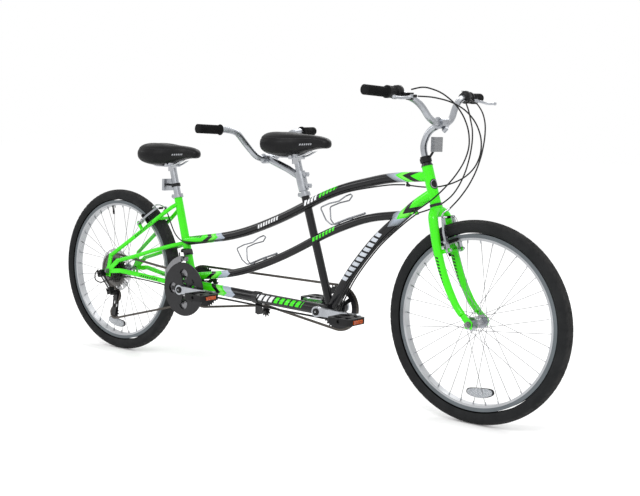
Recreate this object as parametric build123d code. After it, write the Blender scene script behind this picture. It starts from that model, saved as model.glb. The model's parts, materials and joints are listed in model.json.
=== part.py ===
"""Tandem bicycle: one frame for two riders, steered from the front and driven through the rear crank.

Frame of reference: +X forward, +Y to the riders' left, +Z up.  The origin lies on the ground, midway
between the two axles.  All sizes are in millimetres.
"""
import os
from cmath import exp, phase, pi
from math import atan2, cos, degrees, hypot, inf, radians, sin, sqrt, tan

from build123d import *

# ---------------------------------------------------------------- driving dimensions
wheelbase = 1676.0
tyre_radius = 330.0
tyre_section = 24.0
tyre_wall = 3.5
tyre_height = 44.0
rim_depth = 20.0
rim_half_width = 14.0
rim_wall = 3.0
spoke_count = 36
spoke_radius = 0.9
spoke_offset = 2.2
front_dropout_width = 100.0
rear_dropout_width = 145.0
dropout_thickness = 5.0
axle_radius = 5.0

bracket_height = 300.0
chainstay_reach = 418.0
bracket_spacing = 670.0
shell_radius = 20.0
shell_half_width = 34.0
shell_bore = 17.0
spindle_radius = 8.5

head_angle = 72.5
fork_rake = 53.0
head_tube_start = 404.6
head_tube_length = 127.0
head_tube_radius = 18.5
head_tube_bore = 15.5
steerer_radius = 12.7
steerer_bore = 11.1
quill_radius = 11.1

rear_seat_angle = 74.4
rear_seat_length = 368.0
front_seat_angle = 71.8
front_seat_length = 420.0
seat_tube_wall = 2.1
rear_seat_radius = 15.9
front_seat_radius = 14.9
top_tube_radius = 17.0
mid_tube_radius = 14.3
down_tube_radius = 18.0
boom_tube_radius = 20.0
tube_wall = 1.5
seat_stay_radius = 8.0
chain_stay_radius = 9.5
leg_radius = 16.5
leg_tip_radius = 11.5
leg_spread = 50.0

chain_pitch = 12.7
roller_radius = 3.9
tooth_clearance = 0.2
tooth_height = 3.4
pulley_tooth_height = 2.2
tooth_flare = 2.6
plate_half_height = 4.2
plate_gap = 2.9
plate_thickness = 0.9
drive_plane = -40.0
timing_plane = 50.0
timing_teeth = 40
idler_teeth = 10
ring_teeth = (28, 38, 48)
ring_step = 7.0
ring_thickness = 2.0
cog_teeth = (34, 24, 22, 20, 18, 16, 14)
cog_step = 4.7
pulley_teeth = 11

crank_length = 170.0
crank_inner_face = 70.0
crank_thickness = 16.0
pedal_half_length = 48.0
pedal_half_width = 46.0
pedal_half_height = 13.0
pedal_axle_radius = 6.0

bar_radius = 11.1
bar_height = 962.0
grip_radius = 16.0
grip_length = 95.0
shifter_radius = 17.5
running_fit = 0.05
cable_radius = 2.4

rim_outer_radius = tyre_radius - tyre_height
rear_axle = Vector(-wheelbase / 2, 0, tyre_radius)
front_axle = Vector(wheelbase / 2, 0, tyre_radius)
rear_bracket = rear_axle + Vector(chainstay_reach, 0, bracket_height - tyre_radius)
front_bracket = rear_bracket + Vector(bracket_spacing, 0, 0)
steer_direction = Vector(-cos(radians(head_angle)), 0, sin(radians(head_angle)))
steer_foot = front_axle - fork_rake * Vector(sin(radians(head_angle)), 0, cos(radians(head_angle)))


# ---------------------------------------------------------------- helpers
def steer_point(distance):
    """Point on the steering axis, measured up from its foot beside the front axle."""
    return steer_foot + steer_direction * distance


def seat_point(bracket, angle, distance):
    """Point on a seat tube's axis, measured up from its bottom bracket."""
    return bracket + Vector(-cos(radians(angle)), 0, sin(radians(angle))) * distance


def rod(start, end, radius, end_radius=None):
    """Round bar between two points, tapered when an end radius is given."""
    start, end = Vector(start), Vector(end)
    plane = Plane(origin=start, z_dir=end - start)
    length = (end - start).length
    if end_radius is None:
        return Solid.make_cylinder(radius, length, plane)
    return Solid.make_cone(radius, end_radius, length, plane)


def pipe(start, end, radius, bore):
    """Straight hollow tube, open at both ends."""
    start, end = Vector(start), Vector(end)
    reach = (end - start).normalized()
    return rod(start, end, radius) - rod(start - reach, end + reach, bore)


def cross_rod(centre, low, high, radius):
    """Round bar across the bicycle, from y=low to y=high, at a centre in the side view."""
    return rod(Vector(centre.X, low, centre.Z), Vector(centre.X, high, centre.Z), radius)


def bend_radii(points):
    """Largest tangent arcs that fit the corners of a route."""
    radii = []
    for before, corner, after in zip(points, points[1:], points[2:]):
        run_in, run_out = corner - before, after - corner
        half_turn = radians(run_in.get_angle(run_out)) / 2
        radii.append(0.45 * min(run_in.length, run_out.length) / tan(half_turn))
    return radii


def bent(points, radius, bore=0.0, tightest=inf):
    """Tube or bar that follows straight runs joined by tangent arcs."""
    points = [Vector(p) for p in points]
    if len(points) == 2:
        return rod(*points, radius) if not bore else pipe(*points, radius, bore)
    path = FilletPolyline(*points, radius=[min(bend, tightest) for bend in bend_radii(points)])
    section = Circle(radius)
    if bore:
        section -= Circle(bore)
    return sweep(Plane(origin=path @ 0, z_dir=path % 0) * section, path)


def side_plane(y):
    """Sketch plane seen from the right-hand side: local x is +X, local y is +Z, extrudes to -Y."""
    return Plane(origin=(0, y, 0), x_dir=(1, 0, 0), z_dir=(0, -1, 0))


def slab(outline, centre, y_low, y_high):
    """Flat plate across y_low..y_high whose outline is drawn about a centre in the side view."""
    plane = Plane(origin=(centre.X, y_high, centre.Z), x_dir=(1, 0, 0), z_dir=(0, -1, 0))
    return extrude(plane * outline, y_high - y_low, dir=(0, -1, 0))


def ring(profile, centre):
    """Body of revolution about the axle line; the profile is drawn as (radius, y)."""
    return Pos(centre) * revolve(profile, Axis.Y)


def group(*shapes):
    """Several separate solids that share one node."""
    solids = []
    for shape in shapes:
        solids.extend(shape.solids())
    return Compound(children=solids)


# ---------------------------------------------------------------- chains
def pitch_radius(teeth):
    return chain_pitch / 2 / sin(pi / teeth)


def flat(point):
    """Side-view position as a complex number, x + i z."""
    return complex(point.X, point.Z)


def chain_runs(wheels):
    """Arcs and straight runs of a closed chain.  A wheel is (centre, teeth, turn), turn +1 or -1."""
    runs = []
    tangents = []
    for (c1, n1, d1), (c2, n2, d2) in zip(wheels, wheels[1:] + wheels[:1]):
        r1, r2 = d1 * pitch_radius(n1), d2 * pitch_radius(n2)
        gap = c2 - c1
        length = sqrt(abs(gap) ** 2 - (r2 - r1) ** 2)
        heading = gap * complex(length, r1 - r2) / abs(gap) ** 2
        tangents.append((c1 - r1 * 1j * heading, c2 - r2 * 1j * heading))
    for index, (centre, teeth, turn) in enumerate(wheels):
        arrive, leave = tangents[index - 1][1], tangents[index][0]
        swept = (turn * (phase(leave - centre) - phase(arrive - centre))) % (2 * pi)
        runs.append(("arc", centre, arrive - centre, turn * 2 * pi / teeth, swept * teeth / (2 * pi)))
        start, end = tangents[index]
        runs.append(("line", start, (end - start) / abs(end - start), chain_pitch,
                     abs(end - start) / chain_pitch))
    return runs


def chain_pitches(wheels):
    return sum(run[-1] for run in chain_runs(wheels))


def chain_pins(wheels):
    """Pin centres of the chain, one pitch apart, and the tooth phase of every wheel."""
    runs = chain_runs(wheels)
    pins, phases = [], []
    done = 0.0
    for kind, base, arm, step, count in runs:
        first = -(-done // 1) - done
        places = [first + k for k in range(int(count - first) + 1) if first + k < count]
        for place in places:
            pins.append(base + (arm * exp(1j * step * place) if kind == "arc" else arm * step * place))
        if kind == "arc":
            phases.append(phase(arm * exp(1j * step * first)))
        done += count
    total = round(done)
    return pins[:total], phases


def solve(function, low, high):
    """Root of a monotonic function by halving."""
    sign = function(low) > 0
    for _ in range(60):
        middle = (low + high) / 2
        if (function(middle) > 0) == sign:
            low = middle
        else:
            high = middle
    return (low + high) / 2


def chain_solid(wheels, y):
    """Roller chain: two rows of side plates held apart by a roller at every pitch."""
    pins, _ = chain_pins(wheels)
    outer_face = plate_gap / 2 + plate_thickness
    loop = []
    for here, after in zip(pins, pins[1:] + pins[:1]):
        middle, heading = (here + after) / 2, degrees(phase(after - here))
        loop.append(Pos(middle.real, middle.imag) * Rot(0, 0, heading)
                    * SlotCenterToCenter(abs(after - here), 2 * plate_half_height))
    plates = Sketch() + loop
    rollers = Sketch() + [Pos(pin.real, pin.imag) * Circle(roller_radius) for pin in pins]
    toward = (0, -1, 0)
    chain = extrude(side_plane(y + outer_face) * plates, plate_thickness, dir=toward)
    chain += extrude(side_plane(y - plate_gap / 2) * plates, plate_thickness, dir=toward)
    chain += extrude(side_plane(y + plate_gap / 2) * rollers, plate_gap, dir=toward)
    return chain


def toothed_disc(teeth, phase_angle, bore, height=tooth_height):
    """Outline of a sprocket whose tooth gaps start at the given angle."""
    radius = pitch_radius(teeth)
    gaps = PolarLocations(radius, teeth, start_angle=degrees(phase_angle))
    seat = roller_radius + tooth_clearance
    reach, wide = height + 1, seat + tooth_flare
    mouth = Polygon((0, -seat), (reach, -wide), (reach, wide), (0, seat), align=None)
    return Circle(radius + height) - gaps * (Circle(seat) + mouth) - Circle(bore)


def sprocket(teeth, phase_angle, centre, y, bore, height=tooth_height):
    outline = toothed_disc(teeth, phase_angle, bore, height)
    return slab(outline, centre, y - ring_thickness / 2, y + ring_thickness / 2)


# ---------------------------------------------------------------- chain layouts
idler_x = front_bracket.X - 344.0
guide_centre = rear_axle + Vector(12, 0, -102)
cage_pivot = guide_centre + Vector(6, 0, 12)
cage_length = 75.0
timing_links = 146
drive_links = 112


def timing_wheels(idler_z):
    return [(flat(front_bracket), timing_teeth, 1), (flat(rear_bracket), timing_teeth, 1),
            (complex(idler_x, idler_z), idler_teeth, -1)]


def drive_wheels(cage_angle):
    tension = flat(guide_centre) + cage_length * exp(1j * cage_angle)
    return [(flat(rear_bracket), ring_teeth[0], 1), (flat(rear_axle), cog_teeth[0], 1),
            (flat(guide_centre), pulley_teeth, -1), (tension, pulley_teeth, 1)]


idler_height = solve(lambda z: chain_pitches(timing_wheels(z)) - timing_links,
                     bracket_height - 90, bracket_height - 20)
cage_angle = solve(lambda a: chain_pitches(drive_wheels(a)) - drive_links, radians(-130), radians(-60))
idler_centre = Vector(idler_x, 0, idler_height)
tension_centre = guide_centre + cage_length * Vector(cos(cage_angle), 0, sin(cage_angle))
timing_layout = timing_wheels(idler_height)
drive_layout = drive_wheels(cage_angle)
timing_phases = chain_pins(timing_layout)[1]
drive_phases = chain_pins(drive_layout)[1]
print("timing chain", round(chain_pitches(timing_layout), 3), "idler height", round(idler_height, 1))
print("drive chain", round(chain_pitches(drive_layout), 3), "cage angle", round(degrees(cage_angle), 1))
nodes = {}

# ---------------------------------------------------------------- frame tubes
head_bottom = steer_point(head_tube_start)
head_top = steer_point(head_tube_start + head_tube_length)
rear_seat_top = seat_point(rear_bracket, rear_seat_angle, rear_seat_length)
front_seat_top = seat_point(front_bracket, front_seat_angle, front_seat_length)
rear_seat_direction = (rear_seat_top - rear_bracket).normalized()
front_seat_direction = (front_seat_top - front_bracket).normalized()

nodes["head_tube"] = pipe(head_bottom, head_top, head_tube_radius, head_tube_bore)

# Swept S-curves of the three long tubes, given as side-view points ahead of the rear seat tube.
top_route = [steer_point(head_tube_start + head_tube_length - 35), Vector(490, 0, 778),
             Vector(255, 0, 722), Vector(20, 0, 606), Vector(-200, 0, 524),
             seat_point(rear_bracket, rear_seat_angle, 186)]
mid_route = [Vector(540, 0, 655), Vector(400, 0, 636), Vector(240, 0, 576), Vector(20, 0, 462),
             Vector(-190, 0, 381), seat_point(rear_bracket, rear_seat_angle, 45)]
down_route = [steer_point(head_tube_start + 36), Vector(600, 0, 700), Vector(440, 0, 570),
              Vector(330, 0, 437), front_bracket]
boom_route = [rear_bracket + Vector(0, 0, 10), front_bracket - Vector(0, 0, 8)]

shell_front = cross_rod(front_bracket, -shell_half_width, shell_half_width, shell_radius)
shell_rear = cross_rod(rear_bracket, -shell_half_width, shell_half_width, shell_radius)
shell_hole_front = cross_rod(front_bracket, -2 * shell_half_width, 2 * shell_half_width, shell_bore)
shell_hole_rear = cross_rod(rear_bracket, -2 * shell_half_width, 2 * shell_half_width, shell_bore)
front_seat_outer = rod(front_bracket, front_seat_top, front_seat_radius)
front_seat_bore = front_seat_radius - seat_tube_wall
rear_seat_bore = rear_seat_radius - seat_tube_wall
front_seat_hole = rod(front_bracket, front_seat_top + front_seat_direction, front_seat_bore)
rear_seat_outer = rod(rear_bracket, rear_seat_top, rear_seat_radius)
rear_seat_hole = rod(rear_bracket, rear_seat_top + rear_seat_direction, rear_seat_bore)

top_tube = bent(top_route, top_tube_radius, top_tube_radius - tube_wall)
mid_tube = bent(mid_route, mid_tube_radius, mid_tube_radius - tube_wall)
down_outer = bent(down_route, down_tube_radius)
down_tube = bent(down_route, down_tube_radius, down_tube_radius - tube_wall)
boom_tube = bent(boom_route, boom_tube_radius, boom_tube_radius - tube_wall)

head_solid = rod(head_bottom - steer_direction * 40, head_top + steer_direction * 40, head_tube_radius)
rear_trim = rod(rear_bracket - rear_seat_direction * 20, rear_seat_top, rear_seat_radius)
main = top_tube + (mid_tube - down_outer) + down_tube + boom_tube
main = main - front_seat_outer
main = main + (front_seat_outer - front_seat_hole)
main = main - head_solid - rear_trim - shell_rear - cross_rod(front_bracket, -60, 60, shell_radius)
main = main + (shell_front - shell_hole_front)
nodes["main_tubes"] = main

# ---------------------------------------------------------------- rear triangle
seat_stay_route = [Vector(-511, -10, 622), Vector(-528, -26, 608), Vector(-592, -42, 560),
                   Vector(-700, -52, 484), Vector(-822, -74, 396)]
mid_stay_route = [Vector(-472, -8, 472), Vector(-508, -32, 461), Vector(-590, -50, 437),
                  Vector(-690, -58, 404), Vector(-780, -74, 378)]
chain_stay_route = [Vector(-428, -10, 303), Vector(-468, -24, 308), Vector(-560, -42, 318),
                    Vector(-670, -56, 329), Vector(-766, -74, 338)]
stay_ends = ((16, 66), (58, 48), (72, 8))
dropout_arm = 18.0
eyelet_place = (8, 46)
eyelet_radius = 2.1
hanger_place = (-26, -6)


def dropout(low, high):
    """Rear fork end with a slot for the axle that opens downward, and one threaded eyelet."""
    slot = Circle(axle_radius + 0.2) + Pos(0, -20) * Rectangle(2 * axle_radius + 0.4, 40)
    eyelet = Pos(*eyelet_place) * Circle(eyelet_radius)
    plate = Circle(16) + Pos(0, -11) * Rectangle(26, 22)
    for reach, rise in stay_ends:
        turn = degrees(atan2(rise, reach))
        arm = SlotCenterToCenter(hypot(reach, rise), dropout_arm)
        plate += Pos(reach / 2, rise / 2) * Rot(0, 0, turn) * arm
    if low < 0:
        plate += Pos(*hanger_place) * Circle(10) + Pos(-14, -4) * Rectangle(24, 14)
    return slab(plate - slot - eyelet, rear_axle, low, high)


rear_face = rear_dropout_width / 2
rear_triangle = (rear_seat_outer - rear_seat_hole - shell_rear) + (shell_rear - shell_hole_rear)
stay_cut = rod(rear_bracket, rear_seat_top, rear_seat_bore) + shell_hole_rear
for side in (-1, 1):
    low, high = sorted((side * rear_face, side * (rear_face + dropout_thickness)))
    half = dropout(low, high)
    for route, radius in ((seat_stay_route, seat_stay_radius), (mid_stay_route, seat_stay_radius),
                          (chain_stay_route, chain_stay_radius)):
        points = [Vector(p.X, -side * p.Y, p.Z) for p in route]
        half += bent(points, radius)
    rear_triangle += half - stay_cut
rear_triangle += rod((-592, -42, 560), (-592, 42, 560), 6)
rear_triangle += rod((-508, -32, 461), (-508, 32, 461), 6) - rear_seat_hole
nodes["rear_triangle"] = rear_triangle - main

# ---------------------------------------------------------------- bearing cups
cup_flange = 4.5
cup_wall_radius = spindle_radius + running_fit


def bracket_cup(bracket, side):
    """Threaded cup with a flange outside the shell."""
    low, high = sorted((side * (shell_half_width - 12), side * shell_half_width))
    flange_low, flange_high = sorted((side * shell_half_width, side * (shell_half_width + cup_flange)))
    cup = cross_rod(bracket, low, high, shell_bore)
    cup += cross_rod(bracket, flange_low, flange_high, shell_radius - 1)
    return cup - cross_rod(bracket, -80, 80, cup_wall_radius)


upper_cup = rod(head_top, head_top + steer_direction * 12, head_tube_radius + 2, 15.5)
upper_cup += rod(head_top - steer_direction * 10, head_top, head_tube_bore)
lower_cup = rod(head_bottom, head_bottom - steer_direction * 9, head_tube_radius + 2)
lower_cup += rod(head_bottom + steer_direction * 10, head_bottom, head_tube_bore)
steer_hole = rod(steer_point(300), steer_point(700), steerer_radius + running_fit)
nodes["bearing_cups"] = group(upper_cup - steer_hole, lower_cup - steer_hole,
                              *[bracket_cup(b, s) for b in (front_bracket, rear_bracket) for s in (-1, 1)])

# ---------------------------------------------------------------- fork, headset nuts and stem
crown_top = steer_point(head_tube_start - 9.5)
leg_route = [(672, 6, 683), (681, 40, 666), (696, leg_spread, 620), (707, leg_spread, 566),
             (728, leg_spread, 500), (756, leg_spread, 438), (788, leg_spread + 1, 384),
             (812, leg_spread + 2, 358)]
front_face = front_dropout_width / 2
tip_outline = [(-38, 30), (-24, 40), (12, 8), (12, -14), (-12, -14), (-14, 2)]


def fork_leg(side):
    """Leg that leaves the crown sideways, runs down beside the tyre and tapers towards the axle."""
    points = [Vector(x, side * y, z) for x, y, z in leg_route]
    path = FilletPolyline(*points, radius=bend_radii(points))
    sections = [Plane(origin=path @ 0, z_dir=path % 0) * Circle(leg_radius),
                Plane(origin=path @ 1, z_dir=path % 1) * Circle(leg_tip_radius)]
    return sweep(sections, path, multisection=True)


def fork_tip(side):
    """Flat fork end with a slot for the axle that opens downward."""
    slot = Circle(axle_radius + 0.2) + Pos(0, -15) * Rectangle(2 * axle_radius + 0.4, 30)
    low, high = sorted((side * front_face, side * (front_face + dropout_thickness)))
    return slab(Polygon(*tip_outline, align=None) - slot, front_axle, low, high)


steerer_top = steer_point(head_tube_start + head_tube_length + 27)
legs = fork_leg(-1) + fork_leg(1)
legs -= rod(crown_top - steer_direction * 6, crown_top + steer_direction * 40, 60)
fork = legs + rod(crown_top - steer_direction * 34, crown_top - steer_direction * 6, 19.5)
fork += rod(crown_top - steer_direction * 6, crown_top, head_tube_radius + 2.5)
fork += rod(crown_top - steer_direction * 20, steerer_top, steerer_radius)
fork -= rod(crown_top - steer_direction * 60, steerer_top + steer_direction, steerer_bore)
fork += fork_tip(-1) + fork_tip(1)
nodes["fork"] = fork

bar_clamp = Vector(675, 0, bar_height)
stem_route = [steer_point(head_tube_start + head_tube_length - 45), steer_point(600), Vector(628, 0, 935),
              bar_clamp + Vector(-4, 0, -4)]
stem = bent(stem_route, quill_radius)
stem += cross_rod(bar_clamp, -22, 22, 19)
stem += rod(bar_clamp + Vector(10, 0, -26), bar_clamp + Vector(22, 0, -14), 8)
stem -= cross_rod(bar_clamp, -40, 40, bar_radius)
nodes["stem"] = stem

headset_nut_base = head_tube_start + head_tube_length + 12.5
reflector_centre = Vector(661, 0, 893)
nut = extrude(Plane(origin=steer_point(headset_nut_base), z_dir=steer_direction) * RegularPolygon(20, 8), 14)
nut += rod(steer_point(headset_nut_base + 14), steer_point(headset_nut_base + 20), 17)
nut -= rod(steer_point(500), steer_point(600), steerer_radius)
bracket_foot = steer_point(headset_nut_base + 17) + Vector(15, 0, 0)
bracket_arm = bent([bracket_foot, Vector(640, 0, 856), Vector(655, 0, 880)], 4)
reflector = Pos(reflector_centre) * Box(14, 50, 48)
nodes["front_reflector"] = group((nut + bracket_arm) - reflector, reflector)

# ---------------------------------------------------------------- handlebars
grip_start = (640, 185, 1050)
grip_end = (612, 345, 1056)
bar_half = [(675, 58, 962), (660, 112, 1026), grip_start, grip_end]


def both_ends(half):
    """Route across the bicycle from the right-hand end to the left-hand end."""
    return [Vector(x, -y, z) for x, y, z in reversed(half)] + [Vector(*p) for p in half]


nodes["handlebar"] = bent(both_ends(bar_half), bar_radius)
bar_line = (Vector(*grip_end) - Vector(*grip_start)).normalized()


def on_bar(distance, side):
    """Point on the straight grip section, measured outward from its inner end."""
    point = Vector(*grip_start) + bar_line * distance
    return Vector(point.X, side * point.Y, point.Z)


def sleeve(inner, outer, side, radius, bore):
    return pipe(on_bar(inner, side), on_bar(outer, side), radius, bore)


def grip(inner, outer, side):
    """Rubber grip with a ribbed flange at its inner end and a closed outer end."""
    body = sleeve(inner, outer, side, grip_radius, bar_radius)
    body += sleeve(inner, inner + 4, side, grip_radius + 3, bar_radius)
    return body + rod(on_bar(outer, side), on_bar(outer + 4, side), grip_radius)


bar_length = (Vector(*grip_end) - Vector(*grip_start)).length
grip_inner = bar_length - grip_length
nodes["handlebar_grips"] = group(*[grip(grip_inner, bar_length, side) for side in (-1, 1)])

shifter_inner = 34.0
bracket_inner = 12.0
lever_reach = Vector(46, 0, -10)
lever_sweep = [(0, 0, 0), (14, 26, -4), (8, 66, -8), (12, 112, -6)]
brackets = []
for name, side in (("right", -1), ("left", 1)):
    shifter = sleeve(shifter_inner, grip_inner - 1, side, shifter_radius, bar_radius + running_fit)
    shifter += sleeve(grip_inner - 9, grip_inner - 1, side, shifter_radius + 2.5, bar_radius + running_fit)
    nodes[name + "_shifter"] = shifter
    pod = sleeve(shifter_inner - 8, shifter_inner - 0.5, side, shifter_radius + 3, bar_radius)
    hub = on_bar(bracket_inner, side)
    pivot = hub + lever_reach
    mount = sleeve(bracket_inner - 8, bracket_inner + 8, side, 16, bar_radius)
    arm = rod(hub + Vector(8, 0, -2), pivot - Vector(9, 0, -2), 7)
    yoke = Pos(pivot) * (Cylinder(8, 22) + Pos(-9, 0, 0) * Box(10, 16, 22))
    yoke -= Pos(pivot) * (Box(40, 60, 12.4) - Pos(-24, 0, 0) * Box(20, 60, 12.4))
    pin = Pos(pivot) * Cylinder(3, 22)
    yoke += pin
    barrel = rod(pivot + Vector(-10, -side * 6, 0), pivot + Vector(-4, -side * 34, 2), 5)
    brackets += [pod, (mount + arm + yoke + barrel) - rod(on_bar(-20, side), on_bar(60, side), bar_radius)]
    blade = bent([pivot + Vector(x, side * y, z) for x, y, z in lever_sweep], 4.5)
    blade += Pos(pivot) * Cylinder(6.5, 11.8)
    tip_x, tip_y, tip_z = lever_sweep[-1]
    blade += Pos(pivot + Vector(tip_x, side * tip_y, tip_z)) * Sphere(6)
    nodes[name + "_brake_lever"] = blade - Pos(pivot) * Cylinder(3 + running_fit, 30)
nodes["lever_brackets"] = group(*[piece - nodes["handlebar"] for piece in brackets])
nodes["stem"] -= bent(both_ends(bar_half), bar_radius + running_fit)

# ---------------------------------------------------------------- seatposts, stoker stem and stoker bar
front_post_radius = front_seat_bore
rear_post_radius = rear_seat_bore
front_post_top = seat_point(front_bracket, front_seat_angle, 554)
rear_post_top = seat_point(rear_bracket, rear_seat_angle, 489)
front_post_foot = seat_point(front_bracket, front_seat_angle, 340)
rear_post_foot = seat_point(rear_bracket, rear_seat_angle, 280)


def seat_clamp(top, direction, radius, bore):
    """Split collar with a quick-release skewer."""
    collar = pipe(top - direction * 9, top + direction * 5, radius + 5, bore)
    ear = Pos(top - direction * 4 + Vector(-radius - 6, 0, 0)) * Box(12, 14, 14)
    lever = bent([top + Vector(-radius - 8, -9, -4), top + Vector(-radius - 8, 16, -4),
                  top + Vector(-radius - 2, 24, -12), top + Vector(-radius + 18, 26, -34)], 2.8)
    return collar + (ear + lever - rod(top - direction * 30, top + direction * 30, radius))


front_post = rod(front_post_foot, front_post_top, front_post_radius)
rear_post = rod(rear_post_foot, rear_post_top, rear_post_radius)
front_collar = seat_clamp(front_seat_top, front_seat_direction, front_seat_radius, front_post_radius)
rear_collar = seat_clamp(rear_seat_top, rear_seat_direction, rear_seat_radius, rear_post_radius)
front_collar = front_collar - rod(front_post_foot, front_seat_top, front_seat_radius) - front_post
rear_collar = rear_collar - rod(rear_post_foot, rear_seat_top, rear_seat_radius) - rear_post
nodes["seatposts"] = group(front_post, rear_post, front_collar, rear_collar)

stoker_clamp = Vector(-60, 0, 818)
sleeve_low = seat_point(front_bracket, front_seat_angle, 432)
sleeve_high = seat_point(front_bracket, front_seat_angle, 502)
stoker_stem = rod(sleeve_low, sleeve_high, front_post_radius + 6)
stoker_reach = [sleeve_high - front_seat_direction * 22, Vector(48, 0, 781), stoker_clamp + Vector(4, 0, 0)]
stoker_stem += bent(stoker_reach, 13)
stoker_stem += cross_rod(stoker_clamp, -22, 22, 18)
for height in (14, 56):
    ear = sleeve_low + front_seat_direction * height + Vector(22, 0, 6)
    stoker_stem += Pos(ear) * Box(20, 16, 15)
    stoker_stem += cross_rod(ear + Vector(5, 0, 0), -12, 12, 4)
stoker_stem -= front_post + rod(sleeve_low - front_seat_direction, sleeve_high, front_post_radius)
stoker_stem -= cross_rod(stoker_clamp, -40, 40, bar_radius)
nodes["stoker_stem"] = stoker_stem
stoker_half = [(-60, 54, 818), (-82, 88, 862), (-78, 150, 912), (-82, 196, 919), (-106, 318, 922)]
nodes["stoker_handlebar"] = bent(both_ends(stoker_half), bar_radius)
nodes["stoker_stem"] -= bent(both_ends(stoker_half), bar_radius + running_fit)
stoker_grips = []
for side in (-1, 1):
    start, end = [Vector(x, side * y, z) for x, y, z in stoker_half[-2:]]
    along = (end - start).normalized()
    inner = end - along * grip_length
    body = pipe(inner, end, grip_radius, bar_radius) + rod(end, end + along * 4, grip_radius)
    stoker_grips.append(body + pipe(inner, inner + along * 4, grip_radius + 3, bar_radius))
nodes["stoker_grips"] = group(*stoker_grips)

# ---------------------------------------------------------------- saddles
saddle_sections = [(-44, 58, 906, 852), (0, 97, 918, 832), (60, 84, 911, 834), (130, 42, 903, 846),
                   (200, 27, 899, 857), (226, 15, 888, 866)]
saddle_step = Vector(-634, 0, -60)
rail_half = [(-12, 34, 848), (10, 27, 829), (100, 22, 828), (168, 12, 860)]


def saddle_cover(shift):
    sections = [Plane(origin=Vector(x, 0, (top + bottom) / 2) + shift, x_dir=(0, 1, 0), z_dir=(1, 0, 0))
                * Ellipse(half_width, (top - bottom) / 2) for x, half_width, top, bottom in saddle_sections]
    return loft(sections)


def saddle_rail(shift, post_top):
    """Two wire rails with the clamp that grips them on top of the seatpost."""
    rails = [bent([Vector(x, side * y, z) + shift for x, y, z in rail_half], 3.5) for side in (-1, 1)]
    block = Pos(post_top + Vector(0, 0, 4)) * Box(30, 58, 18)
    skirt = rod(post_top - Vector(0, 0, 22), post_top + Vector(0, 0, 6), front_post_radius + 4)
    bolt = cross_rod(post_top + Vector(0, 0, 4), -36, 36, 5)
    return rails[0] + rails[1] + block + skirt + bolt


covers, frames = [], []
for shift, post_top, post in ((Vector(0, 0, 0), front_post_top, front_post),
                              (saddle_step, rear_post_top, rear_post)):
    cover = saddle_cover(shift)
    covers.append(cover)
    frames.append(saddle_rail(shift, post_top) - cover - post)
nodes["saddle_covers"] = group(*covers)
nodes["saddle_rails"] = group(*frames)

# ---------------------------------------------------------------- bottle cages and rear reflector
def bottle_cage(base_low, base_high):
    """Wire cage: rails along the tube, a stop behind the bottle and a hoop round its shoulder."""
    along = (base_high - base_low).normalized()
    up = Vector(-along.Z, 0, along.X)
    wire = 2.6
    cage_bend = 9.0
    lift = mid_tube_radius + wire + 3
    half = [(126, 0, 2), (118, 9, 0), (60, 8, 2), (-22, 8, 0), (-36, 14, 22), (-36, 28, 68), (8, 31, 70),
            (50, 30, 66), (76, 20, 76), (84, 0, 80)]
    cage = None
    for side in (-1, 1):
        points = [base_low + along * a + Vector(0, side * b, 0) + up * (lift + c) for a, b, c in half]
        loop = bent(points, wire, tightest=cage_bend)
        cage = loop if cage is None else cage + loop
    for reach in (0, (base_high - base_low).length):
        foot = base_low + along * reach
        cage += rod(foot + up * 6, foot + up * (lift + 2), 7.5)
    return cage


cage_bases = [(Vector(276, 0, 588), Vector(334, 0, 609)), (Vector(-112, 0, 410), Vector(-54, 0, 433))]
mid_solid = bent(mid_route, mid_tube_radius)
nodes["bottle_cages"] = group(*[bottle_cage(low, high) - mid_solid for low, high in cage_bases])

clamp_centre = seat_point(rear_bracket, rear_seat_angle, 410)
clamp_ring = pipe(clamp_centre - rear_seat_direction * 6, clamp_centre + rear_seat_direction * 6,
                  rear_post_radius + 4, rear_post_radius)
clamp_arm = Pos(clamp_centre + Vector(-26, 0, 0)) * Box(24, 10, 8)
rear_lens = Pos(clamp_centre + Vector(-44, 0, 0)) * Box(13, 54, 46)
nodes["seatposts"] = group(nodes["seatposts"], clamp_ring + (clamp_arm - rear_lens - rear_post), rear_lens)

# ---------------------------------------------------------------- wheels
flange_radius = 22.0
flange_thickness = 3.0
left_flange = 34.0
rear_right_flange = -24.0
bore_radius = axle_radius + running_fit
thread_radius = 17.0
protector_radius = 88.0
wheel_nut_radius = 9.5


def annulus(inner, outer, low, high):
    """Rectangle of a revolved profile, drawn as (radius, y)."""
    return Pos((inner + outer) / 2, (low + high) / 2) * Rectangle(outer - inner, high - low)


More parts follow.
